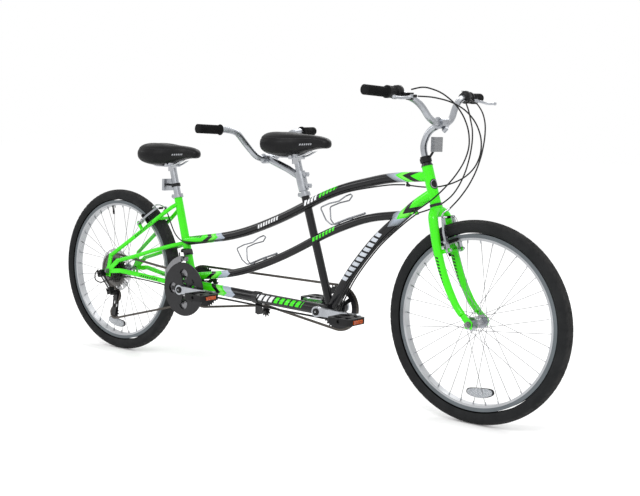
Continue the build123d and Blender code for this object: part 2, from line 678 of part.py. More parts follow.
def wheel(prefix, centre, right_flange, right_end):
    """Tyre, rim, spokes and hub of one wheel."""
    section_centre = Pos(tyre_radius - tyre_section, 0)
    seat = annulus(rim_outer_radius - rim_depth, rim_outer_radius, -rim_half_width, rim_half_width)
    tyre = section_centre * Circle(tyre_section) - section_centre * Circle(tyre_section - tyre_wall) - seat
    nodes[prefix + "_tyre"] = ring(tyre, centre)
    well = annulus(rim_outer_radius - rim_depth + 8, rim_outer_radius + 1,
                   rim_wall - rim_half_width, rim_half_width - rim_wall)
    rim = ring(seat - well - section_centre * Circle(tyre_section), centre)
    nodes[prefix + "_rim"] = rim
    hub = annulus(bore_radius, 13, right_end, left_flange + 12)
    hub += annulus(bore_radius, flange_radius, left_flange - flange_thickness, left_flange)
    hub += annulus(bore_radius, flange_radius, right_flange, right_flange + flange_thickness)
    spokes = []
    for index in range(spoke_count):
        side = 1 if index % 2 else -1
        flange = left_flange - flange_thickness / 2 if side > 0 else right_flange + flange_thickness / 2
        lean = 1 if (index // 2) % 2 else -1
        rim_turn = 2 * pi * index / spoke_count
        hub_turn = rim_turn + lean * radians(62)
        start = centre + Vector((flange_radius + 0.3) * cos(hub_turn), flange + lean * spoke_offset,
                                (flange_radius + 0.3) * sin(hub_turn))
        reach = rim_outer_radius - rim_depth - 0.1
        end = centre + Vector(reach * cos(rim_turn), side * 2.5, reach * sin(rim_turn))
        spokes.append(rod(start, end, spoke_radius))
    nodes[prefix + "_spokes"] = group(*spokes)
    return hub


front_hub = wheel("front", front_axle, -left_flange, -left_flange - 12)
nodes["front_hub"] = ring(front_hub, front_axle)
thread_end = drive_plane - cog_step * 5
rear_hub = wheel("rear", rear_axle, rear_right_flange, thread_end)
rear_hub += annulus(bore_radius, thread_radius, thread_end, 0)
protector_y = drive_plane + 7.2
protector = annulus(thread_radius + 0.1, protector_radius, protector_y, protector_y + 1.5)
slots = Sketch() + PolarLocations(66, 12) * SlotCenterToCenter(26, 9)
disc = ring(protector, rear_axle) - slab(slots, rear_axle, protector_y - 1, protector_y + 3)
nodes["rear_hub"] = group(ring(rear_hub, rear_axle), disc)


def axle(centre, face, hub_low, hub_high, nut_hex):
    """Solid axle with cones inside the fork ends and flanged nuts outside."""
    outside = face + dropout_thickness
    bar = cross_rod(centre, -outside - 14, outside + 14, axle_radius)
    bar += cross_rod(centre, hub_high, face, 8) + cross_rod(centre, -face, hub_low, 8)
    for side in (-1, 1):
        low, high = sorted((side * outside, side * (outside + 2)))
        bar += cross_rod(centre, low, high, wheel_nut_radius + 1)
        low, high = sorted((side * (outside + 2), side * (outside + 10)))
        bar += slab(RegularPolygon(nut_hex, 6), centre, low, high)
    return bar


nodes["front_axle"] = axle(front_axle, front_face, -left_flange - 12.4, left_flange + 12.4, wheel_nut_radius)
nodes["rear_axle"] = axle(rear_axle, rear_face, thread_end - 5.4, left_flange + 12.4, wheel_nut_radius)

# ---------------------------------------------------------------- freewheel
cog_body_radius = 24.0
freewheel_low = drive_plane - cog_step * (len(cog_teeth) - 1) - 1
freewheel_bore = thread_radius + running_fit
freewheel = ring(annulus(freewheel_bore, cog_body_radius, thread_end, drive_plane + 1), rear_axle)
freewheel += ring(annulus(13.5, cog_body_radius, freewheel_low, thread_end - 0.5), rear_axle)
freewheel += ring(annulus(freewheel_bore, cog_body_radius, thread_end - 0.5, thread_end), rear_axle)
for index, teeth in enumerate(cog_teeth):
    bore = cog_body_radius - 0.5
    start = drive_phases[1] if index == 0 else 0.0
    freewheel += sprocket(teeth, start, rear_axle, drive_plane - index * cog_step, bore)
nodes["freewheel"] = freewheel

# ---------------------------------------------------------------- cranks, rings and pedals
spider_radius = 62.0
guard_radius = 104.0
guard_y = drive_plane - ring_step * 2 - 6


def crank_arm(bracket, side):
    """Forged arm, horizontal: right arms point forward and left arms point back."""
    reach = -side * crank_length
    low, high = sorted((side * crank_inner_face, side * (crank_inner_face + crank_thickness)))
    outline = Circle(19) + Pos(reach, 0) * Circle(14)
    outline += Polygon((0, -15), (0, 15), (reach, 11), (reach, -11), align=None)
    arm = slab(outline, bracket, low, high)
    return arm - cross_rod(bracket + Vector(reach, 0, 0), -120, 120, pedal_axle_radius + running_fit)


def crank_set(bracket):
    spindle = cross_rod(bracket, -crank_inner_face - 6, crank_inner_face + 6, spindle_radius)
    arms = crank_arm(bracket, -1) + crank_arm(bracket, 1)
    end = crank_inner_face + crank_thickness
    bolts = cross_rod(bracket, -end - 1.5, -end, 11) + cross_rod(bracket, end, end + 1.5, 11)
    return spindle + arms + bolts


def spider(bracket, low, high, arm_count, reach):
    """Star-shaped carrier between the crank arm and the rings."""
    outline = Circle(24)
    for turn in range(arm_count):
        outline += Rot(0, 0, 360 / arm_count * turn + 36) * Pos(reach / 2, 0) * Rectangle(reach, 15)
    return slab(outline - Circle(spindle_radius), bracket, low, high)


def timing_ring(bracket, phase_angle):
    """Toothed ring with round windows and a five-arm carrier that joins it to the left arm."""
    bore = 56.0
    low, high = timing_plane - ring_thickness / 2, timing_plane + ring_thickness / 2
    plate = slab(toothed_disc(timing_teeth, phase_angle, bore), bracket, low, high)
    carrier = spider(bracket, high, high + 4, 5, 64)
    carrier += slab(Circle(24) - Circle(spindle_radius), bracket, high + 4, crank_inner_face)
    return plate + carrier


nodes["front_crank"] = crank_set(front_bracket)
nodes["rear_crank"] = crank_set(rear_bracket)
nodes["front_timing_ring"] = timing_ring(front_bracket, timing_phases[0])
chainrings = None
for index, teeth in enumerate(ring_teeth):
    bore = 44.0 if index == 0 else 52.0
    start = drive_phases[0] if index == 0 else 0.0
    plate = sprocket(teeth, start, rear_bracket, drive_plane - index * ring_step, bore)
    chainrings = plate if chainrings is None else chainrings + plate
windows = PolarLocations(57, 4, start_angle=90) * Circle(21)
guard = slab(Circle(guard_radius) - Circle(26) - windows, rear_bracket, guard_y - 1.5, guard_y + 1.5)
studs = [cross_rod(rear_bracket + Vector(r * cos(a), 0, r * sin(a)), low, high, 4)
         for k in range(5) for a in [radians(72 * k + 36)]
         for r, low, high in ((48, guard_y, drive_plane), (56, guard_y, drive_plane - ring_step))]
for stud in studs:
    chainrings += stud
chainrings += guard + spider(rear_bracket, guard_y - 4.5, guard_y - 1.5, 5, spider_radius)
chainrings += slab(Circle(24) - Circle(spindle_radius), rear_bracket, -crank_inner_face, guard_y - 4.5)
nodes["chainrings"] = group(chainrings, timing_ring(rear_bracket, timing_phases[1]))


def pedal(bracket, side):
    """Platform pedal on its axle, with a lens set into the front and back edges."""
    outer = crank_inner_face + crank_thickness
    eye = bracket + Vector(-side * crank_length, 0, 0)
    middle = side * (outer + 6 + pedal_half_width)
    spindle_ends = sorted((side * (outer - 12), side * (outer + 2 * pedal_half_width)))
    spindle = cross_rod(eye, *spindle_ends, pedal_axle_radius)
    centre = Pos(eye.X, middle, eye.Z)
    frame = Box(2 * pedal_half_length, 2 * pedal_half_width, 2 * pedal_half_height - 4)
    frame = fillet(frame.edges().filter_by(Axis.Z), 12)
    frame -= Pos(0, 24, 0) * Box(64, 26, 40) + Pos(0, -24, 0) * Box(64, 26, 40)
    core = Rot(90, 0, 0) * Cylinder(11, 2 * pedal_half_width)
    body = centre * (frame + core) - cross_rod(eye, -400, 400, pedal_axle_radius)
    lenses = [centre * Pos(end * (pedal_half_length + 1.5), 0, 0) * Box(3, 50, 13) for end in (-1, 1)]
    return group(body + spindle, *[lens - body for lens in lenses])


for place, bracket in (("front", front_bracket), ("rear", rear_bracket)):
    for name, side in (("right", -1), ("left", 1)):
        nodes[place + "_" + name + "_pedal"] = pedal(bracket, side)

# ---------------------------------------------------------------- chains and idler
nodes["drive_chain"] = chain_solid(drive_layout, drive_plane)
nodes["timing_chain"] = chain_solid(timing_layout, timing_plane)
idler = sprocket(idler_teeth, timing_phases[2], idler_centre, timing_plane, 6, pulley_tooth_height)
idler += ring(annulus(6, 14, timing_plane - 5, timing_plane + 5), idler_centre)
nodes["idler_wheel"] = idler - cross_rod(idler_centre, 0, 90, 4 + running_fit)
boom_low = Vector(idler_x, 0, boom_route[0].Z - boom_tube_radius)
idler_bracket = cross_rod(idler_centre, 4, 30, 9)
idler_bracket += cross_rod(idler_centre, 28, timing_plane - 5.4, 9)
idler_bracket += cross_rod(idler_centre, 30, timing_plane + 12, 4)
idler_bracket += cross_rod(idler_centre, timing_plane + 6, timing_plane + 12, 8)
hanger_height = boom_low.Z - idler_height + 12
idler_bracket += Pos(idler_x, 9, (idler_height + boom_low.Z) / 2) * Box(26, 10, hanger_height)
boom_span = boom_route[1] - boom_route[0]
boom_middle = boom_route[0] + boom_span * ((idler_x - boom_route[0].X) / bracket_spacing)
boom_along = boom_span.normalized()
idler_bracket += rod(boom_middle - boom_along * 13, boom_middle + boom_along * 13, boom_tube_radius + 3)
nodes["idler_bracket"] = idler_bracket - rod(boom_route[0], boom_route[1], boom_tube_radius)

# ---------------------------------------------------------------- linear-pull brakes
arm_thickness = 8.0
boss_radius = 4.0
boss_spread = 40.0
arm_length = 112.0
pad_gap = 1.9
pad_height = 27.0


def brake(prefix, anchor, up, out, leg_offset):
    """Two arms on bosses that stand off the leg or stay, each with its pad beside the rim."""
    boss_line = []
    for name, side in (("right", -1), ("left", 1)):
        plane = Plane(origin=anchor, x_dir=(0, 1, 0), z_dir=Vector(0, 1, 0).cross(up))
        low = -arm_thickness / 2
        outline = Pos(side * boss_spread, 0) * Circle(9)
        outline += Polygon((side * 31, 0), (side * 49, 0), (side * 47, 58), (side * 34, arm_length),
                           (side * 24, arm_length), (side * 33, 58), align=None)
        outline -= Pos(side * boss_spread, 0) * Circle(boss_radius + running_fit)
        arm = extrude(Plane(origin=anchor + plane.z_dir * low, x_dir=(0, 1, 0), z_dir=plane.z_dir) * outline,
                      arm_thickness, dir=plane.z_dir)
        pad_face = rim_half_width + pad_gap
        pad_place = anchor + up * pad_height
        radial = (pad_place - (front_axle if prefix == "front" else rear_axle)).normalized()
        pad_plane = Plane(origin=pad_place, x_dir=Vector(0, 1, 0).cross(radial), z_dir=radial)
        pad = pad_plane * (Pos(0, side * (pad_face + 5), 0) * Box(62, 10, 10))
        post = rod(pad_place + Vector(0, side * (pad_face + 9), 0), pad_place + Vector(0, side * 52, 0), 3.5)
        nodes[prefix + "_brake_arm_" + name] = group(arm + post - pad, pad)
        foot = anchor + Vector(0, side * boss_spread, 0)
        boss = rod(foot - out * leg_offset, foot - out * (arm_thickness / 2 + 0.4), 7)
        boss += rod(foot - out * 10, foot + out * 8, boss_radius)
        boss += rod(foot + out * (arm_thickness / 2 + 0.4), foot + out * 9, 6.5)
        boss_line.append(boss)
    return boss_line


leg_up = Vector(-0.278, 0, 0.961).normalized()
leg_out = Vector(leg_up.Z, 0, -leg_up.X)
front_brake_anchor = Vector(744, 0, 557)
for boss in brake("front", front_brake_anchor, leg_up, leg_out, 28):
    nodes["fork"] += boss
stay_up = Vector(0.79, 0, 0.613).normalized()
stay_out = Vector(-stay_up.Z, 0, stay_up.X)
rear_brake_anchor = Vector(-694, 0, 531)
for boss in brake("rear", rear_brake_anchor, stay_up, stay_out, 30):
    nodes["rear_triangle"] += boss

# ---------------------------------------------------------------- rear derailleur
link_axis = Vector(0.914, 0, 0.406).normalized()
link_drop = 62.0
link_shift = 22.0
link_gap = 7.0
link_pin_radius = 2.0
knuckle_centre = Vector(-858, -91, 312)
knuckle_plane = Plane(origin=knuckle_centre, x_dir=(0, 1, 0), z_dir=link_axis)
carrier_centre = knuckle_plane.from_local_coords(Vector(link_shift, -link_drop, 0))
carrier_plane = Plane(origin=carrier_centre, x_dir=(0, 1, 0), z_dir=link_axis)
hanger_bolt = rear_axle + Vector(hanger_place[0], 0, hanger_place[1])
cage_width = 11.0
cage_plate = 1.6


def pivot_block(plane, up):
    """Body with a pair of lugs and two cross pins; up is +1 when the body is above its pins."""
    block = Pos(0, up * 14, 0) * Box(24, 12, 22)
    lug = Pos(0, up * 4, 0) * Box(25, 19, 3.4)
    pins = [Pos(x, 0, 0) * Cylinder(link_pin_radius, 22) for x in (-link_gap, link_gap)]
    return plane * (block + Pos(0, 0, 9.3) * lug + Pos(0, 0, -9.3) * lug + pins[0] + pins[1])


knuckle = pivot_block(knuckle_plane, 1)
knuckle += cross_rod(hanger_bolt, -95, -rear_face - dropout_thickness, 7)
nodes["rd_knuckle"] = knuckle
carrier = pivot_block(carrier_plane, -1)
carrier += cross_rod(cage_pivot, -74, drive_plane - 7.4, 9) + cross_rod(cage_pivot, -74, drive_plane - 5.0, 4)
nodes["rd_p_knuckle"] = carrier
for name, offset in (("rd_outer_link", -link_gap), ("rd_inner_link", link_gap)):
    top = knuckle_centre + Vector(0, offset, 0)
    low = carrier_centre + Vector(0, offset, 0)
    link = rod(top, low, 2.6)
    for eye in (top, low):
        link += rod(eye - link_axis * 7.2, eye + link_axis * 7.2, 4.6)
    for eye in (top, low):
        link -= rod(eye - link_axis * 9, eye + link_axis * 9, link_pin_radius + running_fit)
    nodes[name] = link

outer_high = drive_plane - 5.2
inner_low = drive_plane + 5.2


def cage_outline(centre):
    """Slender plate that reaches from one pulley to the other, drawn about a centre."""
    top, low = guide_centre - centre, tension_centre - centre
    middle = (top + low) / 2
    turn = degrees(atan2(low.Z - top.Z, low.X - top.X))
    return Pos(middle.X, middle.Z) * Rot(0, 0, turn) * SlotCenterToCenter(cage_length, 2 * cage_width)


pivot_offset = cage_pivot - guide_centre
outer_plate = cage_outline(guide_centre) + Pos(pivot_offset.X, pivot_offset.Z) * Circle(11)
outer_plate -= Pos(pivot_offset.X, pivot_offset.Z) * Circle(4 + running_fit)
window = (tension_centre - guide_centre) / 2
waist = Pos(window.X, window.Z) * Rot(0, 0, degrees(cage_angle)) * SlotCenterToCenter(20, 9)
cage = slab(outer_plate - waist, guide_centre, outer_high - cage_plate, outer_high)
cage += slab(cage_outline(guide_centre) - waist, guide_centre, inner_low, inner_low + cage_plate)
for centre in (guide_centre, tension_centre):
    cage += cross_rod(centre, outer_high - cage_plate, inner_low + cage_plate + 1.5, 2.5)
nodes["rd_cage"] = cage
for name, centre, start in (("guide_pulley", guide_centre, drive_phases[2]),
                            ("tension_pulley", tension_centre, drive_phases[3])):
    pulley = sprocket(pulley_teeth, start, centre, drive_plane, 5, pulley_tooth_height)
    pulley += cross_rod(centre, drive_plane - 4.2, drive_plane + 4.2, 6)
    nodes[name] = pulley - cross_rod(centre, -90, 0, 2.5 + running_fit)

# ---------------------------------------------------------------- front derailleur
fd_low = Vector(-437, -38, 420)
fd_high = fd_low + Vector(0, -6, 26)
shift_inner, shift_outer = 108.0, 130.0


def lugs(place, height):
    """Pair of lugs on both sides of a link's eye, with the pin between them."""
    pair = None
    for x in (-9, 9):
        lug = Pos(place + Vector(x, 0, 0)) * Box(4, 13, height)
        pair = lug if pair is None else pair + lug
    return pair + rod(place - Vector(11, 0, 0), place + Vector(11, 0, 0), link_pin_radius)


band_centre = seat_point(rear_bracket, rear_seat_angle, 138)
band = rod(band_centre - rear_seat_direction * 8, band_centre + rear_seat_direction * 8, rear_seat_radius + 3)
fd_body = band + Pos(-441, -24, 446) * Box(30, 28, 14) + lugs(fd_high, 11)
fd_body -= rod(rear_bracket, rear_seat_top, rear_seat_radius)
nodes["clamp_brackets"] = group(nodes.pop("idler_bracket"), fd_body)
fd_link = rod(fd_low, fd_high, 2.8)
for eye in (fd_low, fd_high):
    fd_link += rod(eye - Vector(6.6, 0, 0), eye + Vector(6.6, 0, 0), 4.3)
for eye in (fd_low, fd_high):
    fd_link -= rod(eye - Vector(8, 0, 0), eye + Vector(8, 0, 0), link_pin_radius + running_fit)
nodes["fd_link"] = fd_link

sector = Circle(shift_outer) - Circle(shift_inner)
wedge = [(200 * cos(radians(a)), 200 * sin(radians(a))) for a in (106, 128, 152)]
sector &= Polygon((0, 0), *wedge, align=None)
fd_cage = slab(sector, rear_bracket, drive_plane - 6.4, drive_plane - 5.2)
fd_cage += slab(sector, rear_bracket, drive_plane + 4.6, drive_plane + 5.8)
tail = rear_bracket + Vector(111 * cos(radians(150.5)), 0, 111 * sin(radians(150.5)))
fd_cage += cross_rod(tail, drive_plane - 6, drive_plane + 5, 2.5)
fd_cage += Pos(-453, drive_plane - 0.3, 419.5) * Box(10, 12.2, 9)
fd_cage += Pos(-437, -38, 410) * Box(26, 8, 5) + Pos(-448.5, -38, 415) * Box(5, 9.5, 14)
foot = fd_low - Vector(0, 0, 3.5)
fd_cage += lugs(foot, 15) - rod(foot - Vector(11, 0, 0), foot + Vector(11, 0, 0), link_pin_radius)
fd_cage += rod(fd_low - Vector(11, 0, 0), fd_low + Vector(11, 0, 0), link_pin_radius)
nodes["fd_cage"] = fd_cage

# ---------------------------------------------------------------- cables
# Each route is a list of points chosen along the way that the housing runs.
steer_rear_brake = [(684, -160, 1042), (722, -138, 1041), (760, -92, 1030), (789, -45, 1005), (808, -8, 966),
                    (815, 18, 917), (806, 34, 866), (782, 42, 822), (744, 44, 788), (698, 40, 766),
                    (652, 33, 753), (604, 24, 750), (552, 10, 754)]
steer_right_shift = [(668, -174, 1062), (704, -158, 1072), (740, -118, 1058), (764, -72, 1026),
                     (778, -36, 986), (784, -10, 940), (783, 0, 890), (772, -8, 842), (748, -22, 794),
                     (714, -36, 750), (676, -42, 714), (634, -36, 688), (592, -16, 667)]
steer_left_shift = [(660, 176, 1032), (682, 160, 1004), (712, 122, 974), (744, 82, 944), (766, 46, 904),
                    (772, 24, 858), (762, 20, 812), (738, 28, 768), (704, 40, 728), (664, 42, 698),
                    (626, 32, 678), (588, 14, 663)]
front_brake_route = [(684, 160, 1042), (720, 146, 1030), (760, 116, 1000), (792, 80, 962), (812, 44, 916),
                     (820, 14, 864), (814, -6, 812), (796, -20, 764), (768, -28, 722), (738, -32, 690)]
rear_brake_run = [(548, -6, 756), (500, -19, 754), (440, -20, 744), (350, -20, 727), (250, -20, 699),
                  (140, -20, 651), (10, -20, 588), (-90, -20, 551), (-200, -20, 513), (-320, -20, 493),
                  (-420, -21, 476), (-478, -22, 481), (-512, -21, 506), (-540, -16, 545), (-566, -8, 580),
                  (-592, 0, 604)]
rear_shift_run = [(592, -16, 667), (564, -11, 644), (520, -8, 608), (456, -8, 553), (396, -8, 483),
                  (346, -8, 416), (304, -8, 338), (278, -8, 285), (242, -8, 263), (180, -8, 265),
                  (60, -8, 267), (-60, -8, 271),
                  (-180, -9, 274), (-290, -10, 277), (-390, -10, 274), (-444, -15, 275), (-492, -25, 289),
                  (-560, -40, 303), (-660, -56, 313), (-740, -72, 318), (-800, -96, 300), (-850, -108, 282),
                  (-884, -106, 292), (-892, -98, 316), (-876, -96, 332)]
front_shift_run = [(588, 14, 663), (558, 10, 640), (516, 7, 605), (454, 7, 551), (394, 7, 481), (344, 7, 414),
                   (302, 7, 336), (278, 7, 284), (242, 7, 262), (180, 6, 264), (60, 2, 267), (-60, -1, 271),
                   (-180, 0, 274), (-290, 2, 277), (-390, 2, 274), (-428, -1, 271), (-452, -4, 284),
                   (-464, -6, 320), (-474, -14, 372), (-476, -26, 410), (-470, -36, 436)]


def cable(name, route):
    """Housing that follows its route; the radii of its bends are listed as it is made."""
    points = [Vector(*p) for p in route]
    print(name, "radii", [round(radius) for radius in bend_radii(points)])
    return bent(points, cable_radius)


def cable_stop(end, before, root):
    """Barrel that takes the end of a housing, standing on a short foot."""
    along = (end - before).normalized()
    return rod(end - along * 4, end + along * 8, 5) + rod(end + along * 2, root, 4)


cable_routes = {"rear brake, steering end": steer_rear_brake, "right shift, steering end": steer_right_shift,
                "left shift, steering end": steer_left_shift, "rear brake run": rear_brake_run,
                "rear shift run": rear_shift_run, "front shift run": front_shift_run}
cables = [cable(name, route) for name, route in cable_routes.items()]
nodes["control_cables"] = group(*cables)
nodes["front_brake_cable"] = cable("front brake", front_brake_route)
for route, root in ((steer_rear_brake, Vector(548, 4, 768)), (steer_right_shift, Vector(592, -5, 688)),
                    (steer_left_shift, Vector(588, 5, 684))):
    stop = cable_stop(Vector(*route[-1]), Vector(*route[-2]), root)
    for wire in cables:
        stop -= wire
    nodes["main_tubes"] += stop - head_solid

# ---------------------------------------------------------------- export
os.makedirs("parts", exist_ok=True)
for name, shape in nodes.items():
    if isinstance(shape, (list, ShapeList)):
        shape = group(*shape)
    export_step(shape, "parts/" + name + ".step")
print(len(nodes), "nodes written")
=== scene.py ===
"""Tandem bicycle: finishes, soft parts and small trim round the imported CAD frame.

Metres, +X forward, +Y to the rider's left, +Z up, floor at z = 0.
"""

import json
from math import cos, exp, pi, radians, sin

import bmesh
import bpy
import numpy as np
from mathutils import Matrix, Vector


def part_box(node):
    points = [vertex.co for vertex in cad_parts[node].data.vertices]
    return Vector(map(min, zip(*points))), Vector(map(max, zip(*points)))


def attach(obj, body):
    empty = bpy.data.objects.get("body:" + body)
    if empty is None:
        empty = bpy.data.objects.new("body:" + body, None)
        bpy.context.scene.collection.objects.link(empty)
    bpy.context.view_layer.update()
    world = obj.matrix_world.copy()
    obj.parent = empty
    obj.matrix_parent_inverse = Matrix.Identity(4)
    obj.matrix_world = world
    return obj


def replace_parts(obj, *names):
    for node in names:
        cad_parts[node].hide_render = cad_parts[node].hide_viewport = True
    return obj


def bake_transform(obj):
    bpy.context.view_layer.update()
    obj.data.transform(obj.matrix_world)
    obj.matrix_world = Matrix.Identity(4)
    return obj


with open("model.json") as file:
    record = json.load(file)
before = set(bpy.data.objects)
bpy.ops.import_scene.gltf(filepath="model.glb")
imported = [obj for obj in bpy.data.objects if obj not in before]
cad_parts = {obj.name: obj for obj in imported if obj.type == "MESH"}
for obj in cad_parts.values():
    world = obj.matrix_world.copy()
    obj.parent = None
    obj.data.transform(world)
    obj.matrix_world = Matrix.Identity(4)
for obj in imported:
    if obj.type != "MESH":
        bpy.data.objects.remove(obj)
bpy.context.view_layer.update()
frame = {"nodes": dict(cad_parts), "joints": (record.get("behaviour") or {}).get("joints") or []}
cad = frame["nodes"]
joints = {joint["name"]: joint for joint in frame["joints"]}

# ---------------------------------------------------------------- driving dimensions
MM = 0.001
WHEEL_CENTRES = {"front": Vector(joints["front_wheel_spin"]["pos_m"]),
                 "rear": Vector(joints["rear_wheel_spin"]["pos_m"])}
CRANK_CENTRES = {"front": Vector(joints["front_crank_spin"]["pos_m"]),
                 "rear": Vector(joints["rear_crank_spin"]["pos_m"])}
TYRE_RADIUS = WHEEL_CENTRES["front"].z
TYRE_SECTION = 24 * MM
TYRE_WALL = 3.2 * MM
GUARD_INNER_FACE = -58.4 * MM
RIM_INNER = 266 * MM
SPOKES = 36
STEER_AXIS = Vector(joints["steering"]["axis"])
STEER_POINT = Vector(joints["steering"]["pos_m"])
Y = Vector((0, 1, 0))


# ---------------------------------------------------------------- mesh helpers
def islands(obj):
    """Connected pieces of a mesh: a list of (polygon numbers, corner points)."""
    mesh = obj.data
    co = np.zeros(len(mesh.vertices) * 3, np.float32)
    mesh.vertices.foreach_get("co", co)
    co = co.reshape(-1, 3)
    weld = np.unique(np.round(co * 2e5).astype(np.int64), axis=0, return_inverse=True)[1].ravel()
    parent = list(range(int(weld.max()) + 1))

    def root(index):
        while parent[index] != index:
            parent[index] = parent[parent[index]]
            index = parent[index]
        return index

    for polygon in mesh.polygons:
        first = root(weld[polygon.vertices[0]])
        for vertex in polygon.vertices[1:]:
            parent[root(weld[vertex])] = first
    found = {}
    for polygon in mesh.polygons:
        found.setdefault(root(weld[polygon.vertices[0]]), []).append(polygon.index)
    pieces = []
    for polygons in found.values():
        used = sorted({v for index in polygons for v in mesh.polygons[index].vertices})
        pieces.append((polygons, co[used].astype(float)))
    return pieces


def main_line(points):
    """Centre, long axis and half length of a cloud of points."""
    centre = (points.min(0) + points.max(0)) / 2
    axis = np.linalg.svd(points - points.mean(0), full_matrices=False)[2][0]
    along = (points - centre) @ axis
    middle = centre + axis * (along.max() + along.min()) / 2
    return Vector(middle), Vector(axis), float(along.max() - along.min()) / 2


def across(direction):
    """Two unit vectors square to a direction."""
    side = direction.cross(Vector((0, 0, 1)))
    if side.length < 1e-3:
        side = direction.cross(Vector((1, 0, 0)))
    side.normalize()
    return side, direction.cross(side).normalized()


def circle(centre, direction, radius, count=16, start=None):
    """Ring of points round a direction; start fixes where the first point lies."""
    side, up = across(direction) if start is None else (start, direction.cross(start).normalized())
    return [centre + radius * (cos(2 * pi * i / count) * side + sin(2 * pi * i / count) * up)
            for i in range(count)]


def eased(points, step=0.010):
    """Route with each corner eased into a curve and long runs cut into short ones."""
    points = [Vector(p) for p in points]
    route = [points[0]]
    for before, corner, after in zip(points, points[1:], points[2:]):
        reach = 0.45 * min((corner - before).length, (after - corner).length)
        enter = corner + (before - corner).normalized() * reach
        leave = corner + (after - corner).normalized() * reach
        for i in range(7):
            t = i / 6
            route.append((1 - t) ** 2 * enter + 2 * t * (1 - t) * corner + t * t * leave)
    route.append(points[-1])
    fine = [route[0]]
    for point in route[1:]:
        gap = point - fine[-1]
        count = max(1, round(gap.length / step))
        fine += [fine[-1] + gap * (i / count) for i in range(1, count + 1)]
    return fine


def tube_rings(route, radius, count=12):
    """Rings along a route that don't twist; radius is a number or a function of 0..1."""
    rings, side = [], None
    for i, point in enumerate(route):
        ahead = (route[min(i + 1, len(route) - 1)] - route[max(i - 1, 0)]).normalized()
        side = across(ahead)[0] if side is None else (side - ahead * side.dot(ahead)).normalized()
        size = radius(i / (len(route) - 1)) if callable(radius) else radius
        rings.append(circle(point, ahead, size, count, side))
    return rings


def lathe_rings(profile, centre, axis, count=24):
    """Rings of a turned body; the profile is (radius, distance along the axis)."""
    side = across(axis)[0]
    return [circle(centre + axis * along, axis, radius, count, side) for radius, along in profile]


def hexed(rings, flat_radius, first, last):
    """Pulls some rings of a turned body from round to six-sided."""
    for ring in rings[first:last]:
        centre = sum(ring, Vector()) / len(ring)
        for i, point in enumerate(ring):
            turn = (2 * pi * i / len(ring)) % (pi / 3) - pi / 6
            ring[i] = centre + (point - centre).normalized() * flat_radius / cos(turn)
    return rings


class Piece:
    """One Blender object put together from skinned rings and loose polygons."""

    def __init__(self, name, body, slot, *materials):
        self.name, self.body, self.slot, self.materials = name, body, slot, materials
        self.points, self.faces, self.looks = [], [], []

    def skin(self, rings, look=0, caps=True, closed=False):
        """Joins neighbouring rings; closed joins the last ring to the first."""
        start, size = len(self.points), len(rings[0])
        for ring in rings:
            self.points.extend(ring)
        spans = len(rings) if closed else len(rings) - 1
        for r in range(spans):
            low, high = start + r * size, start + (r + 1) % len(rings) * size
            for i in range(size):
                j = (i + 1) % size
                self.faces.append((low + i, low + j, high + j, high + i))
                self.looks.append(look)
        if caps and not closed:
            last = start + (len(rings) - 1) * size
            self.faces.append(tuple(reversed(range(start, start + size))))
            self.faces.append(tuple(range(last, last + size)))
            self.looks += [look, look]
        return self

    def box(self, centre, half, turn=Matrix.Identity(3), look=0, edge=0.0006):
        """Block with chamfered edges, turned about its centre."""
        x, y, z = half
        rings = []
        for height, inset in ((-z, edge), (-z + edge, 0), (z - edge, 0), (z, edge)):
            a, b = x - inset, y - inset
            outline = [(a - edge, -b), (a, -b + edge), (a, b - edge), (a - edge, b),
                       (-a + edge, b), (-a, b - edge), (-a, -b + edge), (-a + edge, -b)]
            rings.append([Vector(centre) + turn @ Vector((p, q, height)) for p, q in outline])
        return self.skin(rings, look)

    def screw(self, place, axis, radius=0.0042, height=0.0045, look=0):
        """Round-headed screw with a six-sided socket, its head standing along the axis."""
        axis = Vector(axis).normalized()
        profile = [(radius, 0), (radius, height * 0.8), (radius * 0.85, height), (radius * 0.6, height),
                   (radius * 0.55, height * 0.97), (radius * 0.55, height * 0.35),
                   (radius * 0.1, height * 0.3)]
        rings = hexed(lathe_rings(profile, Vector(place), axis), radius * 0.5, 4, 6)
        return self.skin(rings, look)

    def nut(self, place, axis, flat=0.0055, height=0.005, look=0):
        """Six-sided nut with a rounded crown and the end of its bolt."""
        axis = Vector(axis).normalized()
        profile = [(flat * 1.12, 0), (flat * 1.12, height * 0.85), (flat * 0.95, height),
                   (flat * 0.55, height), (flat * 0.5, height * 1.3), (flat * 0.3, height * 1.36)]
        rings = hexed(lathe_rings(profile, Vector(place), axis), flat, 0, 2)
        return self.skin(rings, look)

    def done(self, smooth=radians(38), ride=True):
        mesh = bpy.data.meshes.new(self.name)
        mesh.from_pydata([tuple(p) for p in self.points], [], self.faces)
        for material in self.materials:
            mesh.materials.append(material)
        mesh.polygons.foreach_set("material_index", self.looks)
        tidy_normals(mesh, smooth)
        obj = bpy.data.objects.new(self.name, mesh)
        bpy.context.scene.collection.objects.link(obj)
        if ride:
            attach(obj, self.body)
        return obj


def tidy_normals(mesh, smooth):
    """Faces turned outward, shaded smooth except across sharp corners."""
    work = bmesh.new()
    work.from_mesh(mesh)
    bmesh.ops.recalc_face_normals(work, faces=work.faces)
    work.to_mesh(mesh)
    work.free()
    mesh.polygons.foreach_set("use_smooth", [True] * len(mesh.polygons))
    mesh.set_sharp_from_angle(angle=smooth)


# ---------------------------------------------------------------- material helpers
def tone(red, green, blue):
    """Display colour 0..255 as linear light."""
    linear = [((c / 255 + 0.055) / 1.055) ** 2.4 if c > 10 else c / 3295 for c in (red, green, blue)]
    return (*linear, 1.0)


GREEN = tone(62, 222, 14)
LIGHT_GREEN = tone(112, 232, 74)
BLACK = tone(12, 12, 15)
SILVER = tone(166, 176, 190)
WHITE = tone(232, 234, 236)


